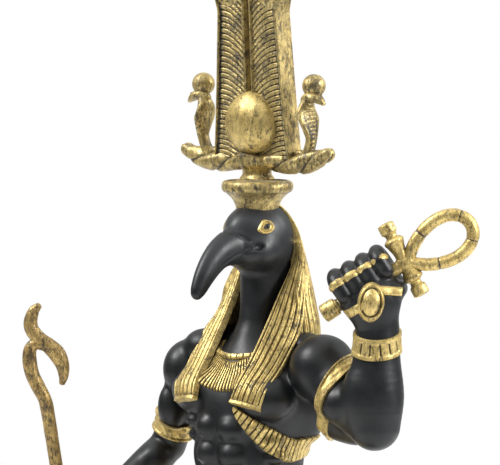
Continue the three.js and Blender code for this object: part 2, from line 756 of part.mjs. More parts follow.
const part = new THREE.Group();
const crownGroup = new THREE.Group();
crownGroup.position.copy(at(0, CAP_BACK, CAP_TOP)).addScaledVector(UP, GAP);
crownGroup.rotation.x = CROWN_LEAN;
crownGroup.add(piece("crown", crown(), GOLD));
part.add(piece("figure", figure(), BLACK));
part.add(crownGroup);
part.add(piece("ankh", ankh(), GOLD));
part.add(piece("was_sceptre", sceptre(), GOLD));
part.add(piece("plinth", plinth(), BLACK));

export default part;
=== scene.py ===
# A black and antique-gold resin statuette of a striding ibis-headed deity, dressed round its frame.
import math

import bmesh
import bpy
import numpy as np
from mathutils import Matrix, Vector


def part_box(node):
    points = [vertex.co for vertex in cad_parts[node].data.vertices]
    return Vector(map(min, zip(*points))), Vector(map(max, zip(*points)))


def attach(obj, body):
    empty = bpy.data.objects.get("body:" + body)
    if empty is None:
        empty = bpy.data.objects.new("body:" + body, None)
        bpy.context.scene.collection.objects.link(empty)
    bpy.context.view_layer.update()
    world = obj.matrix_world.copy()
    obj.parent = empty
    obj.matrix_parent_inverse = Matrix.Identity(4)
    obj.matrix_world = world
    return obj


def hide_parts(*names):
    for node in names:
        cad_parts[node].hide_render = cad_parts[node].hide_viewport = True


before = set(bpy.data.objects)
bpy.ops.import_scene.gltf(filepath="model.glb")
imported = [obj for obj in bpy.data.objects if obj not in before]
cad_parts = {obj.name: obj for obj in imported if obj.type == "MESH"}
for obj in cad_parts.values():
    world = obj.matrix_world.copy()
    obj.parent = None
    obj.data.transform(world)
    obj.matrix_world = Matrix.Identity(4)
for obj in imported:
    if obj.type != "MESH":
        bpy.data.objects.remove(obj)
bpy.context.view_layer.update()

# Sizes are in millimetres. x is to the figure's left, y behind it and z above its soles.
MM = 0.001
GAP = 0.3
PLINTH_HEIGHT = 12
SOLE = PLINTH_HEIGHT + GAP
LEFT, BEHIND, UP = np.eye(3)
TAU = 2 * np.pi
SIDES = (("left", 1), ("right", -1))


def vec(*numbers):
    return np.array(numbers, float)


def unit(v):
    return v / np.maximum(np.linalg.norm(v, axis=-1, keepdims=True), 1e-9)


def ease(low, high, x):
    share = np.clip((x - low) / (high - low), 0, 1)
    return share * share * (3 - 2 * share)


def ridge(x, middle, width):
    return np.exp(-(((x - middle) / width) ** 2))


def dome(x):
    return np.sqrt(np.maximum(0, 1 - x))


def groove(phase, width):
    """One at each whole number of the phase and zero further than width from it."""
    return 1 - ease(0, width, np.abs(phase - np.round(phase)))


def in_row(low, high, count):
    return np.linspace(low, high, count)[None, :]


def in_column(low, high, count):
    return np.linspace(low, high, count)[:, None]


def turns(count):
    return np.linspace(0, TAU, count, endpoint=False)


def grid(x, y, z):
    """Points from coordinates that are stretched to one shape."""
    return np.stack(np.broadcast_arrays(x, y, z), -1)


def curve(rows, count):
    """Rows of numbers drawn out to count rows along a smooth curve through them."""
    rows = np.array(rows, float)
    padded = np.concatenate([[2 * rows[0] - rows[1]], rows, [2 * rows[-1] - rows[-2]]])
    t = np.linspace(0, len(rows) - 1, count)
    i = np.minimum(t.astype(int), len(rows) - 2)
    f = (t - i).reshape((-1,) + (1,) * (rows.ndim - 1))
    a, b, c, d = (padded[i + k] for k in range(4))
    bend = (2 * a - 5 * b + 4 * c - d) * f + (3 * b - a - 3 * c + d) * f * f
    return 0.5 * (2 * b + (c - a) * f + bend * f)


# Meshes: points, faces, and on each point how much dark wash lies there, a value that also carries painted
# light on the head and painted shadow on the plumes
class Shape:
    def __init__(self, points, faces, wash_and_painted_light=0.0):
        self.points = np.asarray(points, float).reshape(-1, 3)
        self.faces = faces
        self.wash_and_painted_light = np.broadcast_to(np.asarray(wash_and_painted_light, float), len(self.points)).copy()


def merged(*shapes):
    start, faces = 0, []
    for shape in shapes:
        faces += [[i + start for i in face] for face in shape.faces]
        start += len(shape.points)
    points = np.concatenate([shape.points for shape in shapes])
    return Shape(points, faces, np.concatenate([shape.wash_and_painted_light for shape in shapes]))


def grid_faces(rows, columns, loop):
    """Quads of a grid that closes round its columns, and round its rows too in a loop."""
    i, k = np.indices((rows if loop else rows - 1, columns))
    j, l = (i + 1) % rows, (k + 1) % columns
    quads = [i * columns + k, i * columns + l, j * columns + l, j * columns + k]
    return np.stack(quads, -1).reshape(-1, 4).tolist()


def loft(rings, wash_and_painted_light=0.0, loop=False):
    """A closed skin over rings of points: (rings, sides, 3)."""
    n, m = rings.shape[:2]
    faces = grid_faces(n, m, loop)
    points = rings.reshape(-1, 3)
    wash_and_painted_light = np.broadcast_to(wash_and_painted_light, (n, m)).reshape(-1)
    if not loop:
        points = np.concatenate([points, [rings[0].mean(0), rings[-1].mean(0)]])
        wash_and_painted_light = np.concatenate([wash_and_painted_light, wash_and_painted_light[[0, -1]]])
        for k in range(m):
            after = (k + 1) % m
            faces += [[n * m, after, k], [n * m + 1, (n - 1) * m + k, (n - 1) * m + after]]
    return Shape(points, faces, wash_and_painted_light)


def shell(front, back, wash_and_painted_light=0.0, loop=False):
    """A closed sheet between two grids of points, both (rows, columns, 3)."""
    n, m = front.shape[:2]
    wash_and_painted_light = np.broadcast_to(wash_and_painted_light, (n, m))
    faces = grid_faces(n, 2 * m, loop)
    if not loop:
        last = (n - 1) * 2 * m
        for k in range(m - 1):
            other = 2 * m - 1 - k
            faces.append([k, other, other - 1, k + 1])
            faces.append([last + k, last + k + 1, last + other - 1, last + other])
    wash_and_painted_light = np.concatenate([wash_and_painted_light, wash_and_painted_light[:, ::-1]], axis=1).reshape(-1)
    return Shape(np.concatenate([front, back[:, ::-1]], axis=1), faces, wash_and_painted_light)


def plate(base, outward, rise, depth, wash_and_painted_light=0.0, loop=False):
    """A closed sheet that stands up from its base by the rise and reaches down by the depth."""
    return shell(base + outward * rise[..., None], base - outward * depth, wash_and_painted_light, loop)


ROUND = 6  # rings that round an end


def sweep(path, half_a, half_b, side, sides=32, ends=1.0, relief=None, wash_and_painted_light=None):
    """A tube along a path with an elliptical section. Relief and wash_and_painted_light are called with
    the angle round it and the share of its length."""
    path = np.asarray(path, float)
    half_a, half_b = (np.broadcast_to(half, len(path)).astype(float) for half in (half_a, half_b))
    along = unit(np.gradient(path, axis=0))
    share = np.concatenate([[0], np.cumsum(np.linalg.norm(np.diff(path, axis=0), axis=1))])
    share = share / share[-1]
    if ends:
        turn = np.linspace(0, np.pi / 2, ROUND + 1)[1:]
        first, last = np.minimum(half_a, half_b)[[0, -1]] * ends
        heads = [path[0] - along[0] * first * np.sin(t) for t in turn[::-1]]
        tails = [path[-1] + along[-1] * last * np.sin(t) for t in turn]
        path = np.concatenate([heads, path, tails])
        shrink = np.maximum(np.cos(turn), 0.02)
        half_a, half_b = (
            np.concatenate([half[0] * shrink[::-1], half, half[-1] * shrink]) for half in (half_a, half_b)
        )
        along = np.pad(along, ((ROUND, ROUND), (0, 0)), mode="edge")
        share = np.pad(share, ROUND, mode="edge")
    u = unit(side - along * (along @ side)[:, None])
    v = np.cross(along, u)
    angle, share = turns(sides)[None, :], share[:, None]
    scale = 1 + (relief(angle, share) if relief else 0)
    a = (half_a[:, None] * np.cos(angle) * scale)[..., None]
    b = (half_b[:, None] * np.sin(angle) * scale)[..., None]
    return loft(path[:, None] + a * u[:, None] + b * v[:, None], wash_and_painted_light(angle, share) if wash_and_painted_light else 0.0)


def revolve(profile, sides, relief=None, wash_and_painted_light=None):
    """Radius and height rows turned round the z axis."""
    profile = np.asarray(profile, float)
    angle, share = turns(sides)[None, :], in_column(0, 1, len(profile))
    radius = profile[:, :1] * (1 + (relief(angle, share) if relief else 0))
    rings = grid(radius * np.cos(angle), radius * np.sin(angle), profile[:, 1:])
    return loft(rings, wash_and_painted_light(angle, share) if wash_and_painted_light else 0.0)


def orb(centre, radii, sides=40, relief=None, wash_and_painted_light=None):
    turn = np.linspace(-np.pi / 2, np.pi / 2, sides // 2 + 1)[1:-1]
    shape = revolve(np.stack([np.cos(turn), np.sin(turn)], -1), sides, relief, wash_and_painted_light)
    shape.points = shape.points * radii + centre
    return shape


# Clay: a grid of distances to the surface, below zero inside, that forms are added to and cut from.
# A form is its distance function and the lowest and highest corners of its box.
FAR = 20.0
MARGIN = 4.0
LAND_STEP = 0.3
CORNERS = [(x, y, z) for x in (0, 1) for y in (0, 1) for z in (0, 1)]
EDGES = [(a, b) for a in range(8) for b in range(a + 1, 8) if a ^ b in (1, 2, 4)]


def soft_min(a, b, blend):
    if not blend:
        return np.minimum(a, b)
    near = np.maximum(blend - np.abs(a - b), 0) / blend
    return np.minimum(a, b) - near * near * blend * 0.25


class Clay:
    def __init__(self, low, high, cell):
        self.low = np.array(low, float)
        self.cell = cell
        counts = np.ceil((np.array(high) - self.low) / cell).astype(int) + 1
        self.axes = [self.low[i] + cell * np.arange(counts[i]) for i in range(3)]
        self.value = np.full(counts, FAR, np.float32)

    def reached(self, form):
        """The part of the grid that a form reaches, and its distances there."""
        distance, low, high = form
        cuts = []
        for axis, start, end in zip(self.axes, low - MARGIN, high + MARGIN):
            first = np.searchsorted(axis, start)
            cuts.append(slice(first, max(first, np.searchsorted(axis, end))))
        return tuple(cuts), distance(*np.ix_(*(axis[cut] for axis, cut in zip(self.axes, cuts))))

    def add(self, form, blend=0.0):
        where, distance = self.reached(form)
        self.value[where] = soft_min(self.value[where], distance, blend)

    def cut(self, form, blend=0.0):
        where, distance = self.reached(form)
        self.value[where] = -soft_min(-self.value[where], distance, blend)

    def keep_between(self, low, high):
        z = self.axes[2]
        self.value = np.maximum(self.value, np.maximum(low - z, z - high).astype(np.float32))

    def sample(self, points):
        place = np.clip((points - self.low) / self.cell, 0, np.array(self.value.shape) - 1.001)
        i = place.astype(int)
        f = place - i
        total = 0
        for corner in CORNERS:
            near = np.where(corner, f, 1 - f)
            x, y, z = np.moveaxis(i + corner, -1, 0)
            total = total + near[..., 0] * near[..., 1] * near[..., 2] * self.value[x, y, z]
        return total

    def land(self, points, direction, reach):
        """Where lines from the points along the direction first meet the surface."""
        direction = np.broadcast_to(unit(np.asarray(direction, float)), points.shape)
        landed = np.full(points.shape[:-1], reach, float)
        free = np.ones(landed.shape, bool)
        before = self.sample(points)
        for k in range(1, int(reach / LAND_STEP) + 1):
            now = self.sample(points + direction * (k * LAND_STEP))
            met = free & ((now < 0) != (before < 0))
            share = before / np.where(now == before, 1, before - now)
            landed = np.where(met, (k - 1 + share) * LAND_STEP, landed)
            free = free & ~met
            before = now
        return points + direction * landed[..., None]


def skin(clay):
    """The clay's surface as a mesh: one point in each cell that the surface crosses."""
    value = clay.value.copy()
    value[[0, -1]] = value[:, [0, -1]] = value[:, :, [0, -1]] = clay.cell
    inside = value < 0
    limits = nx, ny, nz = np.array(value.shape) - 1
    count = sum(inside[x : nx + x, y : ny + y, z : nz + z].astype(np.int8) for x, y, z in CORNERS)
    crossing = (count > 0) & (count < 8)
    cells = np.argwhere(crossing)
    index = np.full(crossing.shape, -1)
    index[crossing] = np.arange(len(cells))
    corner = [value[tuple((cells + c).T)] for c in CORNERS]
    total, hits = np.zeros((len(cells), 3)), np.zeros(len(cells))
    for a, b in EDGES:
        crossed = (corner[a] < 0) != (corner[b] < 0)
        share = corner[a] / np.where(crossed, corner[a] - corner[b], 1)
        step = np.subtract(CORNERS[b], CORNERS[a])
        total += np.where(crossed[:, None], CORNERS[a] + share[:, None] * step, 0)
        hits += crossed
    points = clay.low + clay.cell * (cells + total / hits[:, None])
    faces = []
    for axis in range(3):
        others = [k for k in range(3) if k != axis]
        edges = np.argwhere(np.diff(inside, axis=axis))
        edges = edges[np.all((edges[:, others] > 0) & (edges[:, others] < limits[others]), axis=1)]
        one, two = np.eye(3, dtype=int)[others]
        ring = [edges, edges - one, edges - one - two, edges - two]
        quads = np.stack([index[tuple(cell.T)] for cell in ring], -1)
        faces.append(quads[np.all(quads >= 0, axis=1)])
    return Shape(points, np.concatenate(faces).tolist())


def oval(*pairs):
    """Distance outside an ellipsoid, from pairs of offset and half size along its axes."""
    near = np.sqrt(sum((x / half) ** 2 for x, half in pairs))
    steep = np.sqrt(sum((x / half**2) ** 2 for x, half in pairs))
    return near * (near - 1) / np.maximum(steep, 1e-6)


def ellipsoid(centre, radii, turn=None):
    centre = vec(*centre)
    axes = np.eye(3) if turn is None else turn
    reach = vec(*radii) if turn is None else max(radii)

    def distance(x, y, z):
        x, y, z = x - centre[0], y - centre[1], z - centre[2]
        return oval(*((a * x + b * y + c * z, half) for (a, b, c), half in zip(axes, radii)))

    return distance, centre - reach, centre + reach


def chain(rows, narrow=1.0, count=None):
    """A limb along rows of x, y, z and radius. Its width along x is narrow times its height."""
    rows = curve(rows, count) if count else np.array(rows, float)
    radius = rows[:, 3].max()

    def distance(x, y, z):
        best = FAR
        for (ax, ay, az, ra), (bx, by, bz, rb) in zip(rows[:-1], rows[1:]):
            dx, dy, dz = (bx - ax) / narrow, by - ay, bz - az
            px, py, pz = (x - ax) / narrow, y - ay, z - az
            length = dx * dx + dy * dy + dz * dz
            t = np.clip((px * dx + py * dy + pz * dz) / length, 0, 1)
            gap = np.sqrt((px - t * dx) ** 2 + (py - t * dy) ** 2 + (pz - t * dz) ** 2)
            best = np.minimum(best, (gap - ra - (rb - ra) * t) * min(narrow, 1))
        return best

    return distance, rows[:, :3].min(0) - radius, rows[:, :3].max(0) + radius


def levels(rows):
    """A trunk of level ellipses, given by height, middle, half width and half depth."""
    fine = curve(rows, 12 * len(rows))
    heights, middle, wide, deep = fine[np.argsort(fine[:, 0])].T
    low, high = heights[[0, -1]]

    def distance(x, y, z):
        m, w, d = (np.interp(z, heights, row) for row in (middle, wide, deep))
        return np.maximum(oval((x, w), (y - m, d)), np.maximum(low - z, z - high))

    w, d = wide.max(), deep.max()
    return distance, vec(-w, middle.min() - d, low), vec(w, middle.max() + d, high)


def both_sides(rows):
    """The rows and their mirror image across x."""
    return [rows, [[-row[0], *row[1:]] for row in rows]]


# Materials
class Nodes:
    """A node tree, with a short call for each kind of node that is used here."""

    def __init__(self, owner, coordinate):
        owner.use_nodes = True
        self.tree = owner.node_tree
        self.place = self.node("TexCoord", coordinate)

    def plug(self, socket, value):
        if isinstance(value, bpy.types.NodeSocket):
            self.tree.links.new(value, socket)
        else:
            socket.default_value = value

    def node(self, kind, output, **inputs):
        node = self.tree.nodes.new("ShaderNode" + kind)
        for key, value in inputs.items():
            self.plug(node.inputs[key.replace("_", " ")], value)
        return node.outputs[output]

    def noise(self, size, detail=4.0, rough=0.6, stretch=None):
        """Noise whose features are about size millimetres across."""
        place = self.place
        if stretch:
            place = self.node("Mapping", "Vector", Vector=place, Scale=stretch)
        scale = 1 / (size * MM)
        return self.node("TexNoise", "Fac", Vector=place, Scale=scale, Detail=detail, Roughness=rough)

    def remap(self, value, low, high, start=0.0, end=1.0):
        limits = {"From_Min": low, "From_Max": high, "To_Min": start, "To_Max": end}
        return self.node("MapRange", "Result", Value=value, **limits)

    def maths(self, operation, *values):
        node = self.tree.nodes.new("ShaderNodeMath")
        node.operation = operation
        for socket, value in zip(node.inputs, values):
            self.plug(socket, value)
        return node.outputs["Value"]

    def dot(self, a, b):
        node = self.tree.nodes.new("ShaderNodeVectorMath")
        node.operation = "DOT_PRODUCT"
        self.plug(node.inputs[0], a)
        self.plug(node.inputs[1], b)
        return node.outputs["Value"]

    def mixed(self, factor, a, b):
        node = self.tree.nodes.new("ShaderNodeMix")
        node.data_type = "RGBA"
        self.plug(node.inputs["Factor"], factor)
        for key, value in (("A", a), ("B", b)):
            socket = [s for s in node.inputs if s.name == key and s.type == "RGBA"][0]
            self.plug(socket, (*value, 1) if isinstance(value, tuple) else value)
        return [s for s in node.outputs if s.type == "RGBA"][0]

    def read_wash_and_painted_light(self):
        """The wash, with the painted light and shade, that lies on each point of the mesh."""
        node = self.tree.nodes.new("ShaderNodeAttribute")
        node.attribute_name = "wash_and_painted_light"
        return node.outputs["Fac"]

    def finish(self, colour, rough, metal, specular, grain, strength, depth):
        """Sets the shader. The grain is noise that stands up by the depth."""
        bump = self.node("Bump", "Normal", Strength=strength, Distance=depth * MM, Height=grain)
        shader = self.tree.nodes["Principled BSDF"]
        values = {"Base Color": colour, "Roughness": rough, "Metallic": metal, "Normal": bump}
        for key, value in (values | {"Specular IOR Level": specular}).items():
            self.plug(shader.inputs[key], value)


def black_paint():
    material = bpy.data.materials.new("black_paint")
    p = Nodes(material, "Object")
    broad = p.remap(p.noise(14, 3), 0.35, 0.7)
    colour = p.mixed(broad, (0.0055, 0.0061, 0.0068), (0.0095, 0.0106, 0.0118))
    rubbed = p.remap(p.noise(1.1, 6, 0.7), 0.66, 0.78, 0, 0.35)
    colour = p.mixed(rubbed, colour, (0.03, 0.031, 0.031))
    # Painted light: the black turns lighter where the mesh's value asks for it, which only the head does,
    # for the light from above on it
    colour = p.mixed(p.read_wash_and_painted_light(), colour, (0.02, 0.0218, 0.0236))
    rough = p.remap(p.noise(3.5, 5), 0.3, 0.75, 0.36, 0.5)
    p.finish(colour, rough, 0, 0.38, p.noise(0.55, 4), 0.22, 0.12)
    return material


def gold_paint(name, light, deep, wear):
    """Antique gold rubbed over black: a dark wash stays in the grooves and shows as speckle. Crevices are
    darkened further, partly as that wash and partly as painted shade.
    """
    material = bpy.data.materials.new(name)
    p = Nodes(material, "Object")
    colour = p.mixed(p.remap(p.noise(4, 4), 0.32, 0.68), light, deep)
    glint = p.remap(p.noise(0.5, 3), 0.5, 0.72, 0, 0.6)
    colour = p.mixed(glint, colour, tuple(min(1, c * 1.4) for c in light))
    ragged = p.remap(p.noise(0.8, 5, 0.75), 0.3, 0.7, -0.4, 0.4)
    groove_wash_and_painted_shadow = p.remap(p.maths("ADD", p.read_wash_and_painted_light(), ragged), 0.25, 0.7)
    speck = p.remap(p.noise(0.7, 6, 0.8, (1, 1, 0.4)), 0.525 - wear, 0.585 - wear)
    speck = p.maths("MULTIPLY", speck, p.remap(p.noise(3.6, 5, 0.7), 0.4, 0.6, 0.35, 1))
    smudge = p.remap(p.noise(1.8, 7, 0.78, (1, 1, 0.5)), 0.525 - wear, 0.575 - wear, 0, 0.9)
    smudge = p.maths("MULTIPLY", smudge, p.remap(p.noise(7, 3), 0.42, 0.6, 0.2, 1))
    # Partly painted shade: crevices and places where parts meet are darkened by how closed in they are,
    # which also stands for the dark wash that settles there
    corner = p.tree.nodes.new("ShaderNodeAmbientOcclusion")
    corner.samples = 6
    corner.inputs["Distance"].default_value = 2.2 * MM
    crevice_wash_and_painted_shade = p.remap(corner.outputs["AO"], 0.2, 0.6, 0.95, 0)
    speck = p.maths("MAXIMUM", speck, smudge)
    dark = p.maths("MAXIMUM", p.maths("MAXIMUM", groove_wash_and_painted_shadow, speck), crevice_wash_and_painted_shade)
    dark = p.remap(dark, 0, 1, 0, 0.95)
    rough = p.remap(p.noise(1.2, 4), 0.3, 0.7, 0.34, 0.5)
    metal = p.remap(dark, 0, 1, 0.62, 0)
    p.finish(p.mixed(dark, colour, (0.019, 0.016, 0.014)), rough, metal, 0.4, p.noise(0.45, 5), 0.5, 0.14)
    return material


BLACK = black_paint()
BRIGHT_GOLD = gold_paint("bright_gold_paint", (0.76, 0.58, 0.22), (0.44, 0.31, 0.1), 0.0)
WORN_GOLD = gold_paint("worn_gold_paint", (0.68, 0.53, 0.21), (0.36, 0.26, 0.09), 0.042)
DULL_GOLD = gold_paint("dull_gold_paint", (0.56, 0.39, 0.14), (0.28, 0.18, 0.06), 0.035)
SHARP_ANGLE = math.radians(48)


def build(name, shape, material, node):
    """A piece of the object from a shape in millimetres."""
    mesh = bpy.data.meshes.new(name)
    mesh.from_pydata(((shape.points + UP * SOLE) * MM).tolist(), [], shape.faces)
    work = bmesh.new()
    work.from_mesh(mesh)
    bmesh.ops.recalc_face_normals(work, faces=work.faces)
    work.to_mesh(mesh)
    work.free()
    wash_and_painted_light = mesh.attributes.new("wash_and_painted_light", "FLOAT", "POINT")
    wash_and_painted_light.data.foreach_set("value", shape.wash_and_painted_light.astype(np.float32))
    mesh.polygons.foreach_set("use_smooth", [True] * len(mesh.polygons))
    mesh.set_sharp_from_angle(angle=SHARP_ANGLE)
    mesh.materials.append(material)
    piece = bpy.data.objects.new(name, mesh)
    bpy.context.scene.collection.objects.link(piece)
    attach(piece, "root")
    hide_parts(node)


def black(name, shape, node="figure"):
    build(name, shape, BLACK, node)


def gold(name, shape, material=BRIGHT_GOLD, node="figure"):
    build(name, shape, material, node)


# Pose: joints of the arms and the middles of both grips
SHOULDER = {"left": (27.5, 0.5, 176), "right": (-24.3, 0.5, 172.8)}
ELBOW = {"left": (50.4, -3, 161.6), "right": (-36.2, 1.5, 147.4)}
WRIST = {"left": (51.4, -3, 190), "right": (-43.2, -23, 128)}
GRIP = {"left": (48.1, -4.3, 201.4), "right": (-45.5, -31.5, 122)}
# Share of the way between two joints, and radius there
UPPER_ARM = {
    "left": [(0, 9.8), (0.35, 9.0), (0.8, 7.8), (1, 7)],
    "right": [(0, 7.8), (0.4, 6.8), (0.75, 5.9), (1, 5.3)],
}
FOREARM = {
    "left": [(0, 7.4), (0.3, 8.3), (0.65, 7), (1, 6.3)],
    "right": [(0, 5.2), (0.25, 5.5), (0.7, 5.0), (1, 4.8)],
}
# Muscles of the arms: place, radii and how softly each joins
ARM_FORMS = [
    ((28.5, -0.5, 177), (8.6, 9.6, 8.8), 1.6),
    ((41, -6.5, 167.5), (6.6, 6.4, 6.4), 1.5),
    ((39, 1.6, 162.2), (9.4, 6, 8), 2.0),
    ((33.6, 1.4, 163.4), (7.8, 6.4, 8.2), 2.0),
    ((48.6, -7, 170), (6, 5.2, 9), 2.2),
    ((-25.4, -0.6, 172), (7.4, 8.6, 9), 1.4),
    ((-18.8, -0.5, 179.4), (6.8, 6, 5.4), 2.0),
    ((-28.8, -4.2, 160.5), (4.3, 5, 7.5), 1.2),
    ((-29.4, 5.2, 161), (4.6, 4.6, 9.5), 1.4),
    ((-35.4, -4, 144.2), (4.2, 5.6, 4.4), 2.0),
]
# Trunk: height, middle, half width and half depth
TORSO = [
    (117, 1, 15, 12.5), (126, 0.5, 17.2, 14), (134, 0, 16.2, 14.4), (140, 0, 15.2, 15),
    (147, 0.2, 15.5, 15.8), (154, 0.2, 17.5, 16.3), (162, 0, 20.8, 16.2), (169, 1, 23.4, 15.2),
    (175, 1.8, 22.4, 12), (179, 2.2, 16.4, 9.2), (182, 2.5, 10, 6.8), (185, 2.7, 5.4, 4.4),
    (188, 2.8, 2.4, 2.2),
]
# x, y, z and radius down the neck
NECK = [
    (0, 5, 207, 7.2), (0, 4.2, 200, 6.3), (0, 3, 193, 5.7),
    (0, 2.4, 187, 6), (0, 1.6, 181, 7.6), (0, 1, 175, 9.6),
]
NAPE = [(0, 9, 208, 7), (0, 9, 198, 6.6), (0, 8, 186, 7)]
# Muscles in pairs: place on the left, radii and how softly each joins
MUSCLES = [
    ((12, -8.4, 167), (11, 7.8, 7.6), 1.6),
    ((4.4, -13.6, 157.4), (4.9, 4.3, 4.6), 0.9),
    ((4.4, -13.4, 149.6), (4.7, 4.3, 4.5), 0.9),
    ((4.4, -13.1, 141.4), (4.7, 4.3, 5.2), 0.9),
    ((10.2, -8.8, 148.6), (3.9, 4.4, 8), 1.0),
    ((11.8, -11, 158.6), (4.1, 4, 2.6), 0.8),
    ((13.4, -8.4, 154), (3.3, 3.9, 2.4), 0.8),
    ((14, -6, 149), (2.7, 3.7, 2.4), 0.8),
    ((16.4, 6.4, 166), (6.6, 7.2, 13), 4.0),
    ((10, 10.6, 170), (8, 5.2, 8.5), 3.0),
    ((5.2, 10.6, 150), (3.8, 4.2, 20), 2.5),
    ((14, 5, 182), (9.5, 6, 4), 4.0),
]
# x, y, z and radius of the creases under the chest, across the belly, and down the middle
CHEST_CREASE = [(0.6, -18.4, 163, 0.5), (6, -18.6, 162, 0.6), (13, -15.4, 161, 0.7)]
BELLY_CREASES = [
    [(0.4, -18, 161.6, 0.5), (5, -17.6, 161.8, 0.6), (9, -15.6, 160.6, 0.5)],
    [(0.4, -18.2, 153.5, 0.5), (5, -17.6, 153.9, 0.6), (9, -15.4, 154.6, 0.5)],
    [(0.4, -18, 145.5, 0.5), (5, -17.2, 145.9, 0.6), (9, -15, 146.4, 0.5)],
    [(9.2, -15.6, 160, 0.5), (9.4, -15.4, 150, 0.6), (9, -14.6, 138, 0.6)],
]
BELLY_LINE = [(0, -17.4, 137, 0.6), (0, -17.8, 150, 0.7), (0, -17.8, 163, 0.7)]
BREAST_LINE = [(0, -19.2, 163, 0.8), (0, -18.6, 172, 1.2), (0, -15.4, 180, 0.6)]
SPINE_LINE = [(0, 16.6, 122, 1.6), (0, 16.4, 150, 1.8), (0, 17.8, 172, 1.4)]
ARM_BLEND = 2.0
SEAM = 193  # height where the head's clay meets the trunk's
OVERLAP = 3
WAIST = 120
HEAD_TOP = 226
TUCK = 0.25  # how far each end draws in where the other covers it


def between(start, end, profile):
    """Rows of place and radius at shares of the way between two joints."""
    start, end = vec(*start), vec(*end)
    return [[*(start + (end - start) * share), radius] for share, radius in profile]


def model_neck(clay):
    clay.add(levels(TORSO))
    clay.add(chain(NECK, count=28), 3.0)
    clay.add(chain(NAPE, 1.1, 12), 2.5)


def model_trunk(clay):
    model_neck(clay)
    for place, radii, blend in MUSCLES:
        for side in (1, -1):
            clay.add(ellipsoid((side * place[0], *place[1:]), radii), blend)
    for rows in both_sides(CHEST_CREASE):
        clay.cut(chain(rows, count=8), 1.2)
    for rows in BELLY_CREASES:
        for crease in both_sides(rows):
            clay.cut(chain(crease, count=6), 0.8)
    for rows, blend in ((BELLY_LINE, 1.2), (BREAST_LINE, 2.2), (SPINE_LINE, 4.0)):
        clay.cut(chain(rows), blend)


def model_arms(clay):
    for name, side in SIDES:
        clay.add(chain(between(SHOULDER[name], ELBOW[name], UPPER_ARM[name]), count=16), ARM_BLEND)
        clay.add(chain(between(ELBOW[name], WRIST[name], FOREARM[name]), count=16), 1.0)
    for middle, radii, blend in ARM_FORMS:
        clay.add(ellipsoid(middle, radii), blend)


def tucked(clay, side):
    """The clay's distances, drawn in above the seam (side 1) or below it (side -1)."""
    share = np.clip((clay.axes[2] - SEAM) / (2 * OVERLAP) * side + 0.5, 0, 1)
    return (clay.value + TUCK * share).astype(np.float32)


CELL = {"trunk": 0.66, "head": 0.33, "fist": 0.41, "legs": 0.8}

trunk = Clay((-51, -34, 119), (62, 27, 198), CELL["trunk"])
model_trunk(trunk)
model_arms(trunk)
uncut = trunk.value
trunk.value = tucked(trunk, 1)
trunk.keep_between(WAIST, SEAM + OVERLAP)
black("trunk_and_arms", skin(trunk))
trunk.value = uncut

# Head: skull, cheeks, and the long bill that curves down
SKULL = ((0, 3.2, 213.5), (9.9, 11, 11.3))
FOREHEAD = ((0, -3.6, 217), (5.4, 5, 4.2))
CHEEK = ((5.2, -2.2, 209.6), (4.2, 5.4, 4.4))
BILL = [
    (0, -4, 212, 6.6), (0, -10, 211, 5.4), (0, -14.4, 209.4, 4.6), (0, -18, 206.6, 4),
    (0, -21, 203.2, 3.4), (0, -23.3, 199.8, 2.7), (0, -24.2, 198.4, 2.1),
]
BILL_NARROW = 0.8
HEAD_PAINTED_LIGHT = 0.9  # how much painted light the head takes: it is painted lighter, rising over these heights, for the light from above that falls on it
HEAD_PAINTED_LIGHT_RISE = (200, 209)
# The crease at the bill's root, and the line where it opens
ROOT_CREASE = [(0.6, -12, 216.2), (2.6, -11, 215.6), (4.6, -9, 214.2), (5.8, -7.4, 213)]
PARTING = [
    (6.6, -6.6, 210.6), (5.4, -8.8, 209.8), (4.4, -11.2, 208.7), (3.8, -14.6, 206.9),
    (3.2, -18, 204.5), (2.7, -20.7, 201.4), (2, -22.6, 198.6),
]


def settled(clay, rows, side):
    """Points along a curve through the rows, moved to the nearest place on the clay."""
    points = curve(rows, 4 * len(rows)) * (side, 1, 1)
    for step in range(4):
        ahead = [clay.sample(points + axis * 0.3) - clay.sample(points - axis * 0.3) for axis in np.eye(3)]
        points = points - unit(np.stack(ahead, -1)) * clay.sample(points)[:, None]
    return points


def model_head(clay):
    model_neck(clay)
    clay.add(ellipsoid(*SKULL), 2.5)
    clay.add(ellipsoid(*FOREHEAD), 3.0)
    clay.add(chain(BILL, BILL_NARROW, 44), 2.2)
    for side in (1, -1):
        (x, y, z), radii = CHEEK
        clay.add(ellipsoid((side * x, y, z), radii), 3.0)
        crease = settled(clay, ROOT_CREASE, side)
        parting = settled(clay, PARTING, side)
        clay.cut(ellipsoid(parting[0] + (side * 1.1, 1.1, 0.6), (1.4, 1.9, 1.2)), 0.5)
        clay.cut(chain([[*p, 0.28] for p in crease]), 0.6)
        clay.cut(chain([[*p, 0.36] for p in parting]), 0.5)


head = Clay((-18, -31, 188), (18, 19, 227), CELL["head"])
model_head(head)
head.value = tucked(head, -1)
head.keep_between(SEAM - OVERLAP, HEAD_TOP)
head_shape = skin(head)
head_shape.wash_and_painted_light = HEAD_PAINTED_LIGHT * ease(*HEAD_PAINTED_LIGHT_RISE, head_shape.points[:, 2])
black("head", head_shape)


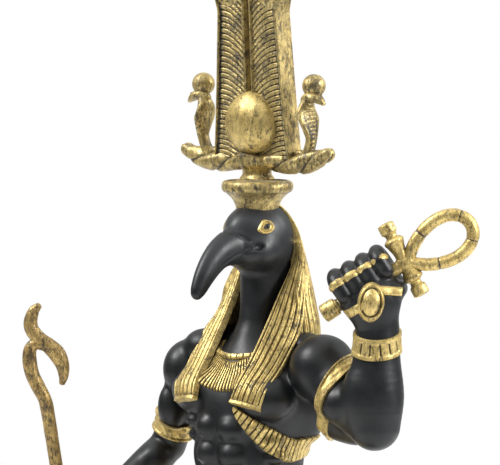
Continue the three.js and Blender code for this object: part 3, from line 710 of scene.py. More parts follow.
def disc(clay, centre, right, up, outline, height, wash_and_painted_light, rings, around, reach=14, depth=0.8):
    """A patch that lies on the clay: outline gives half sizes at each angle, height and
    wash_and_painted_light are called with the angle and the share of the way out."""
    inward = -np.cross(right, up)
    angle, share = turns(around)[None, :], in_column(0.02, 1, rings)
    a, b = outline(angle)
    start = vec(*centre) + (share * a)[..., None] * right + (share * b)[..., None] * up
    landed = clay.land(start - inward * reach / 2, inward, reach)
    front = landed - inward * height(angle, share)[..., None]
    back = landed + inward * depth
    tint = np.broadcast_to(wash_and_painted_light(angle, share), front.shape[:2])
    return loft(np.concatenate([front, back[::-1]]), np.concatenate([tint, tint[::-1]]))


EYE_PLACE = (9, -2.6, 217.2)
PUPIL_PLACE = (16, -1.85, 217.2)


def almond(angle):
    """Half sizes of an eye: pointed in front, full behind."""
    x, y = np.cos(angle), np.sin(angle)
    narrow = 1 - 0.45 * np.clip(-x, 0, 1) ** 2
    return 2.45 * x, 2.1 * y * narrow + 1.0 * np.minimum(x, 0) + 0.3 * np.maximum(x, 0)


def eye(side):
    def height(angle, share):
        lid = 0.5 * ridge(share, 0.84, 0.14)
        ball = 0.45 * dome((share / 0.62) ** 2)
        return 0.15 + lid + ball - 0.7 * ease(0.93, 1, share)

    def wash_and_painted_light(angle, share):
        return np.maximum(1 - ease(0.34, 0.44, share), ridge(share, 0.66, 0.04) * 0.45)

    shape = disc(head, EYE_PLACE, BEHIND, UP, almond, height, wash_and_painted_light, 32, 60)
    shape.points = shape.points * (side, 1, 1)
    return shape


def pupil(side):
    landed = head.land(vec(*PUPIL_PLACE) * (side, 1, 1), (-side, 0, 0), 16)
    return orb(landed, (0.62, 0.98, 0.98), 24)


for word, side in SIDES:
    gold(f"eye_{word}", eye(side))
for word, side in SIDES:
    black(f"pupil_{word}", pupil(side))

# The ankh runs up and outward through the raised fist, the sceptre down through the lowered one
ANKH_TURN = math.radians(35)
ANKH_RISE = math.radians(32.2)
flat = vec(math.cos(ANKH_TURN), math.sin(ANKH_TURN), 0)
ANKH_AXIS = flat * math.cos(ANKH_RISE) + UP * math.sin(ANKH_RISE)
ANKH_ARM = UP * math.cos(ANKH_RISE) - flat * math.sin(ANKH_RISE)
ANKH_FACE = np.cross(ANKH_AXIS, ANKH_ARM)
SCEPTRE_LEAN = unit(vec(-0.0615, -0.1385, 1))

# Fists, each in a frame of grip axis, back of the hand and knuckles
FINGERS = 4
FINGER_PITCH = 4.6
FINGER_SHIFT = {"left": 1.1, "right": 0}
FINGER_PATH = [(5, 1.6), (4.2, 6.0), (-1.2, 7.4), (-5.8, 4.4), (-6.4, -3)]
FINGER_RADII = [2.5, 2.62, 2.4, 2.35, 2.2]
THUMB = [(7, 3, -5, 3.0), (7.6, -4, -5, 2.6), (5.5, -8.6, -2.5, 2.5), (1.5, -8.8, -1, 2.1)]
FINGER_SLIT = [
    (6.9, 0.5, 0.15), (7.4, 5, 0.35), (2.6, 9.8, 0.4), (-2, 10.2, 0.4), (-8.4, 5.5, 0.4), (-9, -2, 0.3),
]
WRIST_RADIUS = {"left": 6.5, "right": 5.0}
HAND_REACH = 19
forward = unit(-BEHIND + SCEPTRE_LEAN * (BEHIND @ SCEPTRE_LEAN))
HAND_FRAME = {
    "left": (ANKH_AXIS, ANKH_FACE, ANKH_ARM),
    "right": (SCEPTRE_LEAN, np.cross(forward, SCEPTRE_LEAN), forward),
}


def in_hand(name, g, b, f):
    axis, back, front = HAND_FRAME[name]
    return vec(*GRIP[name]) + axis * g + back * b + front * f


def from_middle(i):
    return i - (FINGERS - 1) / 2


def finger_place(name, i):
    """How far along the grip the middle of a finger lies, or of a gap for half numbers."""
    return from_middle(i) * FINGER_PITCH + FINGER_SHIFT[name]


def finger(name, i):
    """Rows of place and radius along a finger. Each is a little shorter than the one before."""
    short = 0.975 - 0.015 * from_middle(i)
    rows = zip(FINGER_PATH, FINGER_RADII)
    return [[*in_hand(name, finger_place(name, i), b * short, f * short), r * short] for (b, f), r in rows]


def model_fist(name):
    middle, wrist, elbow = (vec(*joint[name]) for joint in (GRIP, WRIST, ELBOW))
    radius = WRIST_RADIUS[name]
    root = wrist + (elbow - wrist) * 0.3
    low = np.minimum(middle - HAND_REACH, root - radius - 1)
    clay = Clay(low, np.maximum(middle + HAND_REACH, root + radius + 1), CELL["fist"])
    turn = np.stack(HAND_FRAME[name])
    clay.add(ellipsoid(in_hand(name, 0, 0.4, -1.6), (9.2, 6.6, 7.4), turn))
    clay.add(ellipsoid(in_hand(name, 0.5, 2.8, -5), (7.6, 5, 6), turn), 3.0)
    arm = [[*root, radius], [*wrist, radius * 0.97], [*in_hand(name, 0, 1, -4), radius * 1.02]]
    clay.add(chain(arm, count=7), 3.0)
    for i in range(FINGERS):
        clay.add(chain(finger(name, i), count=12), 0.7)
    clay.add(chain([[*in_hand(name, *row[:3]), row[3]] for row in THUMB], count=8), 1.0)
    for i in range(FINGERS - 1):
        slit = [[*in_hand(name, finger_place(name, i + 0.5), b, f), r] for b, f, r in FINGER_SLIT]
        clay.cut(chain(slit, count=12), 0.8)
    for i in range(FINGERS):
        knuckle = in_hand(name, finger_place(name, i), 5.2, 4.6)
        clay.add(ellipsoid(knuckle, (1.9, 2.1, 2.4), turn), 1.2)
    return clay


fists = {name: model_fist(name) for name, side in SIDES}
for name, clay in fists.items():
    black(f"{name}_fist", skin(clay))

# Gold on the head and chest: wig, lappets, collar and the rope round the neck
WIG = [
    (223.5, 4.8, 4.8, 4.4), (220, 5.1, 7.8, 7.5), (215, 5.6, 10.1, 10), (205, 6.2, 13, 11.6),
    (193, 7, 16, 12.4), (184, 7.3, 17.4, 12.8), (166, 7.4, 16.6, 12.2),
]
# Height and y of the wig's front edge
WIG_FRONT = [
    (166, 3.5), (190, 3.2), (197, 3.4), (203, 6.4), (207, 10.2), (213, 11.4), (219, 9.4), (223.5, 6),
]
WIG_THICK = 4
WIG_ROWS = 76
BACK_LOCKS = 22
# Inner and outer edge of a lappet on the left, from the top down
LAPPET = [
    ((8.9, 9.6, 212), (9.9, 10.6, 212)),
    ((9.8, 8.2, 208), (12.4, 9.8, 207.4)),
    ((9.6, 5.4, 203), (14.1, 8.2, 202)),
    ((9, 1.4, 196.5), (16.2, 5.6, 195.5)),
    ((8.8, -4, 188), (17.9, 1.8, 187)),
    ((8.6, -10.6, 178.5), (18, -5.7, 177)),
    ((8, -15.6, 171.4), (18, -12.6, 169.6)),
    ((7.4, -18.6, 166.2), (17.1, -15.9, 164.1)),
]
LAPPET_THICK = 2
LAPPET_ROWS = 120
LAPPET_CLEAR = 0.4
LAPPET_LOCKS = 6
LAPPET_BORDER = 30  # columns at either edge that are lifted clear of the chest
HEM = 0.972  # share of a lappet's length where its plain hem starts


def strands(phase, deep, fine):
    """Depth of the grooves between locks, with finer scratches on each lock."""
    return deep * groove(phase, 0.14) + fine * groove(phase * 3 + 0.5, 0.2)


def skirt(columns, angle, out, thick, wash_and_painted_light, loop=True):
    """A sheet round level ellipses, given by height, middle, half width and half depth."""
    z, middle, wide, deep = columns
    x, y = np.cos(angle), np.sin(angle)
    faces = (grid((wide + step) * x, middle + (deep + step) * y, z) for step in (out, -thick))
    return shell(*faces, wash_and_painted_light, loop)


def wig_back():
    rows = curve(WIG, WIG_ROWS)
    edge = np.interp(rows[:, 0], *np.array(WIG_FRONT).T)
    first = np.arcsin(np.clip((edge - rows[:, 1]) / rows[:, 3], -0.95, 0.95))[:, None]
    share = in_row(0, 1, 196)
    angle = first + (np.pi - 2 * first) * share
    depth = strands(share * BACK_LOCKS + 0.5, 0.75, 0.2) * ease(0, 0.06, in_column(0, 1, WIG_ROWS))
    columns = [column[:, None] for column in rows.T]
    return skirt(columns, angle, 0.35 - depth, WIG_THICK, np.clip(depth / 0.6 - 0.15, 0, 1), False)


def smoothed(row, reach):
    """A row of numbers averaged over its neighbours."""
    padded = np.pad(row, reach, mode="edge")
    return np.convolve(padded, np.full(2 * reach + 1, 1 / (2 * reach + 1)), mode="valid")


def lappet(side):
    edges = curve(LAPPET, LAPPET_ROWS) * (side, 1, 1)
    inner, outer = edges[:, 0], edges[:, 1]
    across = outer - inner
    out = unit(np.cross(np.gradient(edges.mean(1), axis=0), across)) * side
    share, down = in_row(0, 1, 86), in_column(0, 1, LAPPET_ROWS)
    cut = strands(share * LAPPET_LOCKS + 0.5, 0.7, 0.2) * (1 - ease(HEM - 0.01, HEM, down))
    cut = cut + 0.35 * ridge(down, HEM, 0.007)
    thick = LAPPET_THICK * (0.35 + 0.65 * ease(0, 0.3, down))
    crown = np.sin(np.pi * (0.1 + 0.8 * share)) ** 0.5
    rise = thick * (crown - 0.6) - cut * (0.3 + 0.7 * ease(0, 0.2, down))
    base = inner[:, None] + across[:, None] * share[..., None]
    buried = np.maximum(0, LAPPET_CLEAR - trunk.sample(base)) * ease(0, 0.3, down)
    ends = buried[:, :LAPPET_BORDER], buried[:, -LAPPET_BORDER:]
    inner_push, outer_push = (smoothed(end.max(1), 10)[:, None] for end in ends)
    lifted = inner_push * (1 - share) + outer_push * share
    base = base + out[:, None] * lifted[..., None]
    return plate(base, out[:, None], rise, thick[..., None], np.clip(cut / 0.5 - 0.1, 0, 1))


gold("wig_back", wig_back())
for word, side in SIDES:
    gold(f"lappet_{word}", lappet(side))

COLLAR_HEIGHT = 187
COLLAR_REACH = (9.9, 18.9)  # inner and outer radius
COLLAR_SPREAD = math.radians(62)
PETALS = 32


def collar():
    angle, share = in_column(-COLLAR_SPREAD, COLLAR_SPREAD, 360), in_row(0, 1, 22)
    inner, outer = COLLAR_REACH
    scallop = 0.28 * np.cos(angle / COLLAR_SPREAD * PETALS * np.pi)
    radius = inner + (outer - inner + scallop) * share
    start = grid(radius * np.sin(angle), -30.0, COLLAR_HEIGHT - radius * np.cos(angle))
    landed = trunk.land(start, BEHIND, 34)
    phase = (angle / (2 * COLLAR_SPREAD) + 0.5) * PETALS
    cut = 0.7 * groove(phase, 0.34) * ease(0.02, 0.1, share)
    edge = 1.5 * (ease(0, 0.08, share) * (1 - 0.85 * ease(0.95, 1, share)) - 0.2)
    outward = unit(vec(0, -1, 0.35))
    return plate(landed, outward, edge * 0.75 - cut, 1.2, np.clip(cut / 0.45, 0, 1))


gold("fan_collar", collar())

ROPE_SEGMENTS = 30
ROPE_REACH = math.radians(54)  # how far it goes round to either side
ROPE_HALF = 0.95
ROPE_HEIGHT = 181.2
ROPE_DIP = 3.2


def neck_rope():
    angle, share = in_column(-ROPE_REACH, ROPE_REACH, 200), in_row(-1, 1, 12)
    outward = grid(np.sin(angle), -np.cos(angle), 0)
    tilt = unit(outward * 0.75 + UP * 0.66)
    across = unit(UP * 0.75 - outward * 0.66)
    middle = BEHIND + UP * (ROPE_HEIGHT - ROPE_DIP * np.cos(angle))[..., None]
    start = middle + outward * 20 + across * (share * ROPE_HALF)[..., None]
    landed = trunk.land(start, -outward, 20)
    cut = groove(angle / TAU * ROPE_SEGMENTS, 0.12) * 0.45
    rise = 1.2 * dome(share**6) - cut
    return plate(landed, tilt, rise, 0.8, cut * 2.2)


gold("neck_rope", neck_rope())

# Feathered band: a point under each lappet that widens down the flank and runs round the back
BAND_START = math.radians(24)
BAND_END = math.radians(305)
BAND_HEIGHT = {"front": 164.2, "side": 150.6, "back": 153}
BAND_MIDDLE = -1
BAND_WIDE = 7.4
BAND_FALL = math.radians(70)  # how far round it takes to fall from front to side
BAND_RADIUS = 20
SLAT = 1.95


def feathered_band():
    turn = np.linspace(BAND_START, np.pi, 440)
    fall = np.clip((turn - BAND_START) / BAND_FALL, 0, 1)
    top, low, back = BAND_HEIGHT.values()
    z = low + (top - low) * (1 - fall) ** 1.6 + (back - low) * ease(np.pi / 2, np.pi, turn)
    turn = np.concatenate([turn, TAU - turn[-2::-1]])
    z = np.concatenate([z, z[-2::-1]])
    turn, z = turn[turn < BAND_END], z[turn < BAND_END]
    arc = BAND_RADIUS * turn
    run = np.concatenate([[0], np.cumsum(np.hypot(np.diff(arc), np.diff(z)))])
    slope = unit(np.stack([np.gradient(arc), np.gradient(z)], -1))
    wide = BAND_WIDE * np.sqrt(np.clip(np.minimum(run, run[-1] - run) / 16, 0.004, 1))
    across = in_row(-0.5, 0.5, 16)
    turned = turn[:, None] - slope[:, 1:] * wide[:, None] * across / BAND_RADIUS
    high = z[:, None] + slope[:, :1] * wide[:, None] * across
    outward = grid(np.sin(turned), -np.cos(turned), 0)
    start = outward * 9 + UP * high[..., None] + BEHIND * BAND_MIDDLE
    away = np.linalg.norm(trunk.land(start, outward, 22) - start, axis=-1)
    even = np.stack([smoothed(column, 16) for column in away.T], -1)
    landed = start + outward * np.maximum(even, away - 0.7)[..., None]
    cut = groove(run[:, None] / SLAT + 0.06 * np.sin(run[:, None] * 1.7 + across * 3), 0.2)
    rise = 1.3 * np.sqrt(1 - np.abs(2 * across) ** 8) - 0.6 * cut * ease(0, 0.05, across + 0.5)
    return plate(landed, outward, rise, 1.4, np.clip(cut * 1.15, 0, 1))


gold("feathered_band", feathered_band())

WRAP_SIDE = vec(0.6, 0.8, 0)  # where the count of a band's angle starts
WRAP_DEPTH = 1.3


def wrap(start, end, shares, rise, wash_and_painted_light):
    """A band round a limb between two shares of its length. Rise and wash_and_painted_light are
    called with the angle round it and the share across it."""
    start, end = vec(*start), vec(*end)
    along = unit(end - start)
    u = unit(WRAP_SIDE - along * (along @ WRAP_SIDE))
    angle, share = turns(160)[:, None], in_row(0, 1, 22)
    outward = np.cos(angle)[..., None] * u + np.sin(angle)[..., None] * np.cross(along, u)
    place = shares[0] + (shares[1] - shares[0]) * share
    middle = start + (end - start) * place[..., None]
    landed = trunk.land(middle + outward * 2, outward, 16)
    return plate(landed, outward, rise(angle, share), WRAP_DEPTH, wash_and_painted_light(angle, share), loop=True)


def band_edges(share, lip=0.13):
    """High at both borders of a band, a step lower between them, and down to nothing outside."""
    inside = ease(lip, lip + 0.05, share) * (1 - ease(1 - lip - 0.05, 1 - lip, share))
    border = ease(0, 0.04, share) * (1 - ease(0.96, 1, share))
    return border, inside


def plain_band(angle, share):
    border, inside = band_edges(share)
    ripple = 0.14 * np.sin(angle * 9 + share * 7) * np.sin(angle * 4 - share * 11) * inside
    return 1.3 * border - 0.45 * inside + ripple - 0.3


def plain_band_wash(angle, share):
    return 0.75 * (ridge(share, 0.16, 0.03) + ridge(share, 0.84, 0.03))


CUFF_PANELS = 15
CUFF_LIP = 0.2


def cuff(angle, share):
    border, inside = band_edges(share, CUFF_LIP)
    slot = groove(angle / TAU * CUFF_PANELS, 0.16) * inside
    return 1.0 * border - 0.15 * inside - 0.5 * slot - 0.35


def cuff_wash(angle, share):
    return groove(angle / TAU * CUFF_PANELS, 0.17) * band_edges(share, CUFF_LIP)[1]


def about(middle, direction):
    """The two ends of a line with this middle and direction."""
    middle, half = vec(*middle), vec(*direction) / 2
    return middle - half, middle + half


# Ends of the line that each band goes round, and the shares of it that the band covers
ARMBANDS = {
    "left": (*about((35.9, -0.8, 170.7), (17.7, 2.2, -8.5)), (0.385, 0.63)),
    "right": (SHOULDER["right"], ELBOW["right"], (0.62, 0.84)),
}
CUFFS = {
    "left": (*about((51.3, -3, 186), (4.6, -7, 28.4)), (0.4, 0.6)),
    "right": (ELBOW["right"], WRIST["right"], (0.68, 0.92)),
}
for name, side in SIDES:
    gold(f"{name}_armband", wrap(*ARMBANDS[name], plain_band, plain_band_wash))
    gold(f"{name}_cuff", wrap(*CUFFS[name], cuff, cuff_wash))


# Rings on the fingers, and the medallion strapped to the back of the raised hand
def finger_ring(name, i):
    rows = curve(finger(name, i), 60)[8:14]
    radius = rows[:, 3] + 0.1 + 0.3 * np.sin(np.linspace(0, np.pi, len(rows)))
    return sweep(rows[:, :3], radius, radius, HAND_FRAME[name][0], 28, 0.12)


for name in fists:
    gold(f"{name}_finger_rings", merged(*(finger_ring(name, i) for i in range(FINGERS))))

# The medallion and its straps are placed as the camera sees them
VIEW_RIGHT = vec(0.743, 0.669, 0)
VIEW_FRONT = vec(0.669, -0.743, 0)
HAND_DEPTH = 42
HAND_DROP = 0.07 * HAND_DEPTH  # the camera looks a little down
MEDALLION_PLACE = (34, 195)
MEDALLION_TILT = 0.12
MEDALLION_HALF = (3.9, 5.9)
STRAPS = [((36, 198.6), (43, 197.9)), ((26.6, 190.6), (32, 194.2))]
STRAP_HALF = 1.3


def seen_at(across, z):
    """Places in front of the raised hand, this far right of the axis and this high."""
    at_hand = UP * HAND_DROP + VIEW_FRONT * HAND_DEPTH
    return at_hand + np.asarray(across)[..., None] * VIEW_RIGHT + np.asarray(z)[..., None] * UP


def medallion():
    def outline(angle):
        return MEDALLION_HALF[0] * np.cos(angle), MEDALLION_HALF[1] * np.sin(angle)

    def height(angle, share):
        raised = 1.5 * dome((share / 0.7) ** 2)
        return raised + 1.15 * ridge(share, 0.85, 0.12) - 0.4 * ease(0.94, 1, share)

    def wash_and_painted_light(angle, share):
        return 0.95 * ridge(share, 0.7, 0.045)

    right, up = unit(VIEW_RIGHT - UP * MEDALLION_TILT), unit(UP + VIEW_RIGHT * MEDALLION_TILT)
    return disc(fists["left"], seen_at(*MEDALLION_PLACE), right, up, outline, height, wash_and_painted_light, 30, 80, 34, 1.5)


def strap(first, last):
    """A flat band across the back of the hand between two places seen by the camera."""
    share, across = in_column(0, 1, 40), in_row(-1, 1, 14)
    (u0, z0), (u1, z1) = first, last
    run, rise = unit(vec(u1 - u0, z1 - z0))
    u = u0 + (u1 - u0) * share - rise * across * STRAP_HALF
    z = z0 + (z1 - z0) * share + run * across * STRAP_HALF
    landed = fists["left"].land(seen_at(u, z) + VIEW_FRONT * 12, -VIEW_FRONT, 34)
    return plate(landed, VIEW_FRONT, 0.8 * dome(across**4), 1.2)


gold("medallion", medallion())
gold("medallion_straps", merged(*(strap(*ends) for ends in STRAPS)))

# Flared cap on the head
CAP_TOP = 230.6
CAP_BACK = 2.4
CAP_PROFILE = [
    (6.6, 219), (6.4, 221.5), (6.6, 223), (7.6, 225), (9.2, 226.6), (10.3, 227.3), (10.75, 228.2),
    (10.75, 229.3), (10.3, 230.2), (9.2, CAP_TOP), (8.8, CAP_TOP - 0.5), (5, CAP_TOP - 0.55),
    (0.2, CAP_TOP - 0.55),
]


def cap():
    profile = curve(CAP_PROFILE, 72)
    profile[:, 0] = np.maximum(profile[:, 0], 0.1)
    shape = revolve(profile, 80, wash_and_painted_light=lambda angle, share: 0.3 * ridge(share, 0.36, 0.08))
    shape.points = shape.points + BEHIND * CAP_BACK
    return shape


gold("flared_cap", cap(), WORN_GOLD)

# Legs, feet, and the pleated kilt with its belt and apron
HIP = (9, 0, 118)
LEGS = {
    "left": {"knee": (11, -8, 62), "ankle": (11.5, -8, 8), "toe": -34, "heel": -3.5},
    "right": {"knee": (-10.5, 9, 62), "ankle": (-11.5, 26, 8), "toe": 1, "heel": 31.5},
}
THIGH = [(0.3, 9.5), (0.8, 7.4), (1, 6.4)]
SHIN = [(0, 6.4), (0.3, 6.6), (0.62, 5.4), (0.88, 4.3), (1, 4.4)]
# Distance below the knee, distance in front of the shin's middle, and radius of its front edge
SHIN_EDGE = [(4, 3.4, 2.4), (14, 3.8, 2.2), (30, 2.8, 2.0), (42, 1.6, 1.8)]
TOES = 5
TOE_PITCH = 2.35
TOE_CURVE = 0.225  # how the outer toes stand back
LEG_TOP = 95


def model_leg(clay, name, side):
    knee, ankle = vec(*LEGS[name]["knee"]), vec(*LEGS[name]["ankle"])
    toe, heel = LEGS[name]["toe"], LEGS[name]["heel"]
    down = unit(ankle - knee)
    clay.add(chain(between((side * HIP[0], *HIP[1:]), knee, THIGH), count=8), 1.0)
    clay.add(chain(between(knee, ankle, SHIN), count=12), 1.0)
    clay.add(ellipsoid(knee + (0, -3.2, 0.5), (5, 4.2, 5.6)), 2.0)
    clay.add(ellipsoid(knee + (ankle - knee) * 0.28 + (side * 0.6, 3.4, 0), (5.6, 5, 12)), 3.0)
    shin = [[*(knee + down * run - BEHIND * front), radius] for run, front, radius in SHIN_EDGE]
    clay.add(chain(shin, count=10), 2.5)
    x, middle = ankle[0], (toe + heel) / 2
    calf = ankle - down * 18 + BEHIND * 1.6
    tendon = [(x, heel - 4.2, 4.3, 4.2), (x, heel - 4.8, 10, 3.7), (*calf, 3.8)]
    clay.add(chain(tendon, count=12), 2.5)
    ball = x + side * 1.4
    instep = [(x, ankle[1] - 1, 7, 4.4), (x + side, middle, 4.6, 4.4), (ball, toe + 8, 2.6, 3.3)]
    clay.add(chain(instep, 1.3, 14), 2.0)
    sole = [(x, heel - 5, 2.2, 2.9), (x + side, middle, 2.2, 3.2), (ball, toe + 7, 2.0, 3.2)]
    clay.add(chain(sole, 1.4, 14), 1.5)
    for i in range(TOES):
        out = side * (i - (TOES - 1) / 2) * TOE_PITCH
        set_back = TOE_CURVE * i * i
        root, tip = toe + 9 + set_back, toe + 2.6 + set_back
        size = 2.0 - 0.14 * i
        rows = [(ball + out * 0.9, root, 2.2, size), (x + side * 1.6 + out, tip, 1.7, size)]
        clay.add(chain(rows, count=4), 0.7)


legs = Clay((-22, -38, -0.6), (22, 37, 96), CELL["legs"])
for name, side in SIDES:
    model_leg(legs, name, side)
legs.keep_between(0, LEG_TOP)
black("legs", skin(legs))

# Height, middle, half width and half depth
KILT = [(76, -0.5, 21.2, 20.8), (90, -0.2, 21.4, 19.8), (106, 0.1, 21, 18.4), (134, 0, 18.4, 15.2)]
KILT_THICK = 3
KILT_ROWS = 28
PLEATS = 36


def kilt():
    columns = curve(KILT, KILT_ROWS).T[:, None, :]
    angle, share = turns(PLEATS * 12)[:, None], in_row(0, 1, KILT_ROWS)
    wave = (angle / TAU * PLEATS) % 1
    pleat = 0.7 * (1 - wave) * ease(0, 0.12, wave) - 0.75
    hem = 1 - ease(0.04, 0.06, share)
    above = ease(0.045, 0.06, share)
    out = pleat * (1 - 0.4 * share) * above + 0.1 * hem
    tint = np.maximum(groove(wave, 0.12) * above, 0.8 * ridge(share, 0.05, 0.008))
    return skirt(columns, angle, out, KILT_THICK, tint)


gold("kilt", kilt())

BELT_BOTTOM = 133
BELT_HEIGHT = 7
BELT_PANELS = 48


def belt():
    angle, share = turns(288)[:, None], in_row(0, 1, 18)
    border, inside = band_edges(share, CUFF_LIP)
    slot = groove(angle / TAU * BELT_PANELS, 0.12) * inside
    columns = BELT_BOTTOM + BELT_HEIGHT * share, -0.3 - 0.5 * share, 18.9 - 0.6 * share, 16.3
    out = 0.9 * border - 0.25 * inside - 0.45 * slot - 0.4
    return skirt(columns, angle, out, KILT_THICK, slot)


gold("belt", belt())

# Height, half width and y of the apron's face
APRON = [(84, 9, -20.4), (90, 9.4, -21.2), (118, 6, -19.4), (137, 3.6, -17.8)]
CHEVRONS = 16
APRON_ROWS = 100


def apron():
    z, half, face = curve(APRON, APRON_ROWS).T[..., None]
    share, run = in_row(-1, 1, 42), in_column(0, 1, APRON_ROWS)
    aside = np.abs(share)
    chevron = groove(run * CHEVRONS + 0.9 * aside, 0.16) * (1 - ease(0.76, 0.8, aside))
    cut = np.clip(chevron * 0.4 + ridge(aside, 0.8, 0.04) * 0.35, 0, 0.45)
    base = grid(half * share, face + 1.6 * share**2 - 0.4, z)
    return plate(base, -BEHIND, 0.3 * (1 - share**8) - cut, 4.5, np.clip(cut / 0.4, 0, 1))


gold("apron", apron())

BUCKLE_PLACE = vec(0, -17.2, 136.6)


def buckle():
    ring = np.linspace(0, TAU, 60)
    path = grid(4.1 * np.cos(ring), 0, 3.8 * np.sin(ring)) + BUCKLE_PLACE
    return merged(orb(BUCKLE_PLACE, (3.6, 1.3, 3.3)), sweep(path, 0.5, 0.5, BEHIND, 10, 0))


gold("buckle", buckle())

# Crown, in its own frame on the cap, leaning a little forward
CROWN_LEAN = math.radians(3)
cosine, sine = math.cos(CROWN_LEAN), math.sin(CROWN_LEAN)
crown_frame = np.array([[1, 0, 0], [0, cosine, sine], [0, -sine, cosine]])


def crown_piece(name, shape, material=WORN_GOLD):
    shape.points = shape.points @ crown_frame + vec(0, CAP_BACK, CAP_TOP + GAP)
    gold(name, shape, material, "crown")


# Distance from the middle, height and radius of a horn
HORN = [
    (0, 5.8, 3.6), (4, 5.6, 3), (9, 5.2, 2.8), (14, 4.9, 3.1),
    (19, 5.3, 3.1), (24, 6.5, 2.8), (28.3, 8.3, 2.1),
]
HORN_TWIST = 1.3


def horns():
    half = curve(HORN, 70)
    rows = np.concatenate([half[:0:-1] * (-1, 1, 1), half])

    def spiral(angle, share):
        return angle / np.pi * np.sign(share - 0.5) + np.abs(share - 0.5) * 4 * HORN_TWIST

    def cut(angle, share):
        return groove(spiral(angle, share), 0.13) * ease(0.06, 0.16, np.abs(share - 0.5) * 2)

    def relief(angle, share):
        swell = 0.07 * np.cos(TAU * spiral(angle, share))
        return -0.2 * cut(angle, share) - swell + 0.06 * np.sin(angle * 3 + share * 31)

    def wash_and_painted_light(angle, share):
        return 0.9 * cut(angle, share)

    path = grid(rows[:, 0], 0, rows[:, 1])
    return sweep(path, rows[:, 2] * 0.98, rows[:, 2], BEHIND, 40, 1.0, relief, wash_and_painted_light)


CROWN_STEM = [(5.6, 0), (5.5, 0.5), (4.7, 1.6), (4.9, 3), (6.2, 4.8), (6.4, 7)]


def crown_stem():
    shape = revolve(curve(CROWN_STEM, 40), 60, lambda a, r: 0.03 * np.sin(5 * a + 6 * r))
    shape.points = shape.points * (1, 0.84, 1)
    return shape


DISK_RADIUS = 9.6
DISK_DEPTH = 6.3
DISK_PLACE = (0, -1, 17.1)


def sun_disk():
    def relief(angle, rows):
        return 0.008 * np.sin(angle * 7 + rows * 9) + 0.006 * np.sin(angle * 13 - rows * 17)

    shape = orb(0, 1, 96, relief)
    x, y, z = shape.points.T
    egg = 1.03 - 0.09 * z - 0.05 * z * z
    shape.points = grid(x * DISK_RADIUS * egg, y * DISK_DEPTH, z * DISK_RADIUS) + DISK_PLACE
    return shape


PLUME_BOTTOM = 6.5
PLUME_HEIGHT = 56
PLUME_DEPTH = 5.4
PLUME_FOOT_HALF = 15.1
PLUME_TOP_HALF = 11.2
PLUME_FLARE = 1.6
PLUME_SWELL = 1.7  # how much deeper the plumes are at the top
PLUME_SLIT = 1.0
RIM = 0.85
CURL_HEIGHT = 6
CURL_HALF = 6
CURL_INSET = 3.2
CURL_GROOVES = 9
BARB_PITCH = (1.3, 1.75)  # at the foot and near the top
BARB_RISE = 4.8
PLUME_TOP = PLUME_BOTTOM + PLUME_HEIGHT


def plume(side):
    z = in_column(PLUME_BOTTOM, PLUME_TOP - CURL_HEIGHT, 350)
    share = in_row(0, 1, 32)
    share = share - 0.09 * np.sin(TAU * share)
    run = (z - PLUME_BOTTOM) / (PLUME_HEIGHT - CURL_HEIGHT)
    taper = (PLUME_TOP_HALF - PLUME_FOOT_HALF) * run**0.8
    edge = PLUME_FOOT_HALF + taper + PLUME_FLARE * ease(0.86, 1, run)
    x = PLUME_SLIT + (edge - PLUME_SLIT) * share
    from_rim = np.minimum(x - PLUME_SLIT, edge - x)
    panel = ease(RIM * 0.75, RIM * 1.15, from_rim)
    across = np.clip((x - PLUME_SLIT - RIM) / (edge - PLUME_SLIT - 2 * RIM), 0, 1)
    height = z - BARB_RISE * (1 - (1 - across) ** 2) - PLUME_BOTTOM
    first, last = BARB_PITCH
    growth = (last - first) / PLUME_HEIGHT
    phase = np.log1p(growth * np.maximum(height + 20, 0.1) / first) / growth
    barbs = groove(phase, 0.2) * panel
    hatch = groove(phase * 5, 0.3) * panel * (1 - barbs)
    depth = 0.75 * panel + 0.5 * barbs + 0.12 * hatch - 0.12 * np.sin(across * np.pi) * panel
    # Painted shadow: a dark band just inside the raised outer rim, where the rim's shadow falls
    shadow = panel * (1 - ease(RIM, RIM + 1.3, edge - x)) * 0.95
    tint = np.clip(barbs * 0.95 + hatch * 0.28 + shadow + 0.12 * panel, 0, 1)
    rounded = 0.25 * (1 - ease(0, 0.4, from_rim))
    half = PLUME_DEPTH / 2
    front = grid(side * x, -half + depth + rounded, z)
    back = grid(side * x, half + PLUME_SWELL * (0.6 + 0.4 * run) - 0.6 * depth - rounded, z)
    return merged(shell(front, back, tint), plume_curl(side))


def plume_curl(side):
    def lines(angle, share, width):
        return groove(share * CURL_GROOVES + 0.6 * np.cos(angle), width)

    def relief(angle, share):
        return -0.05 * lines(angle, share, 0.25)

    def wash_and_painted_light(angle, share):
        return 0.8 * lines(angle, share, 0.2)

    centre = (side * (PLUME_TOP_HALF - CURL_INSET), 0, PLUME_TOP - CURL_HEIGHT)
    radii = (CURL_HALF, PLUME_DEPTH / 2 * 1.12, CURL_HEIGHT)
    return orb(centre, radii, 72, relief, wash_and_painted_light)


COBRA_PLACE = 22.2
COBRA_BACK = 0.3
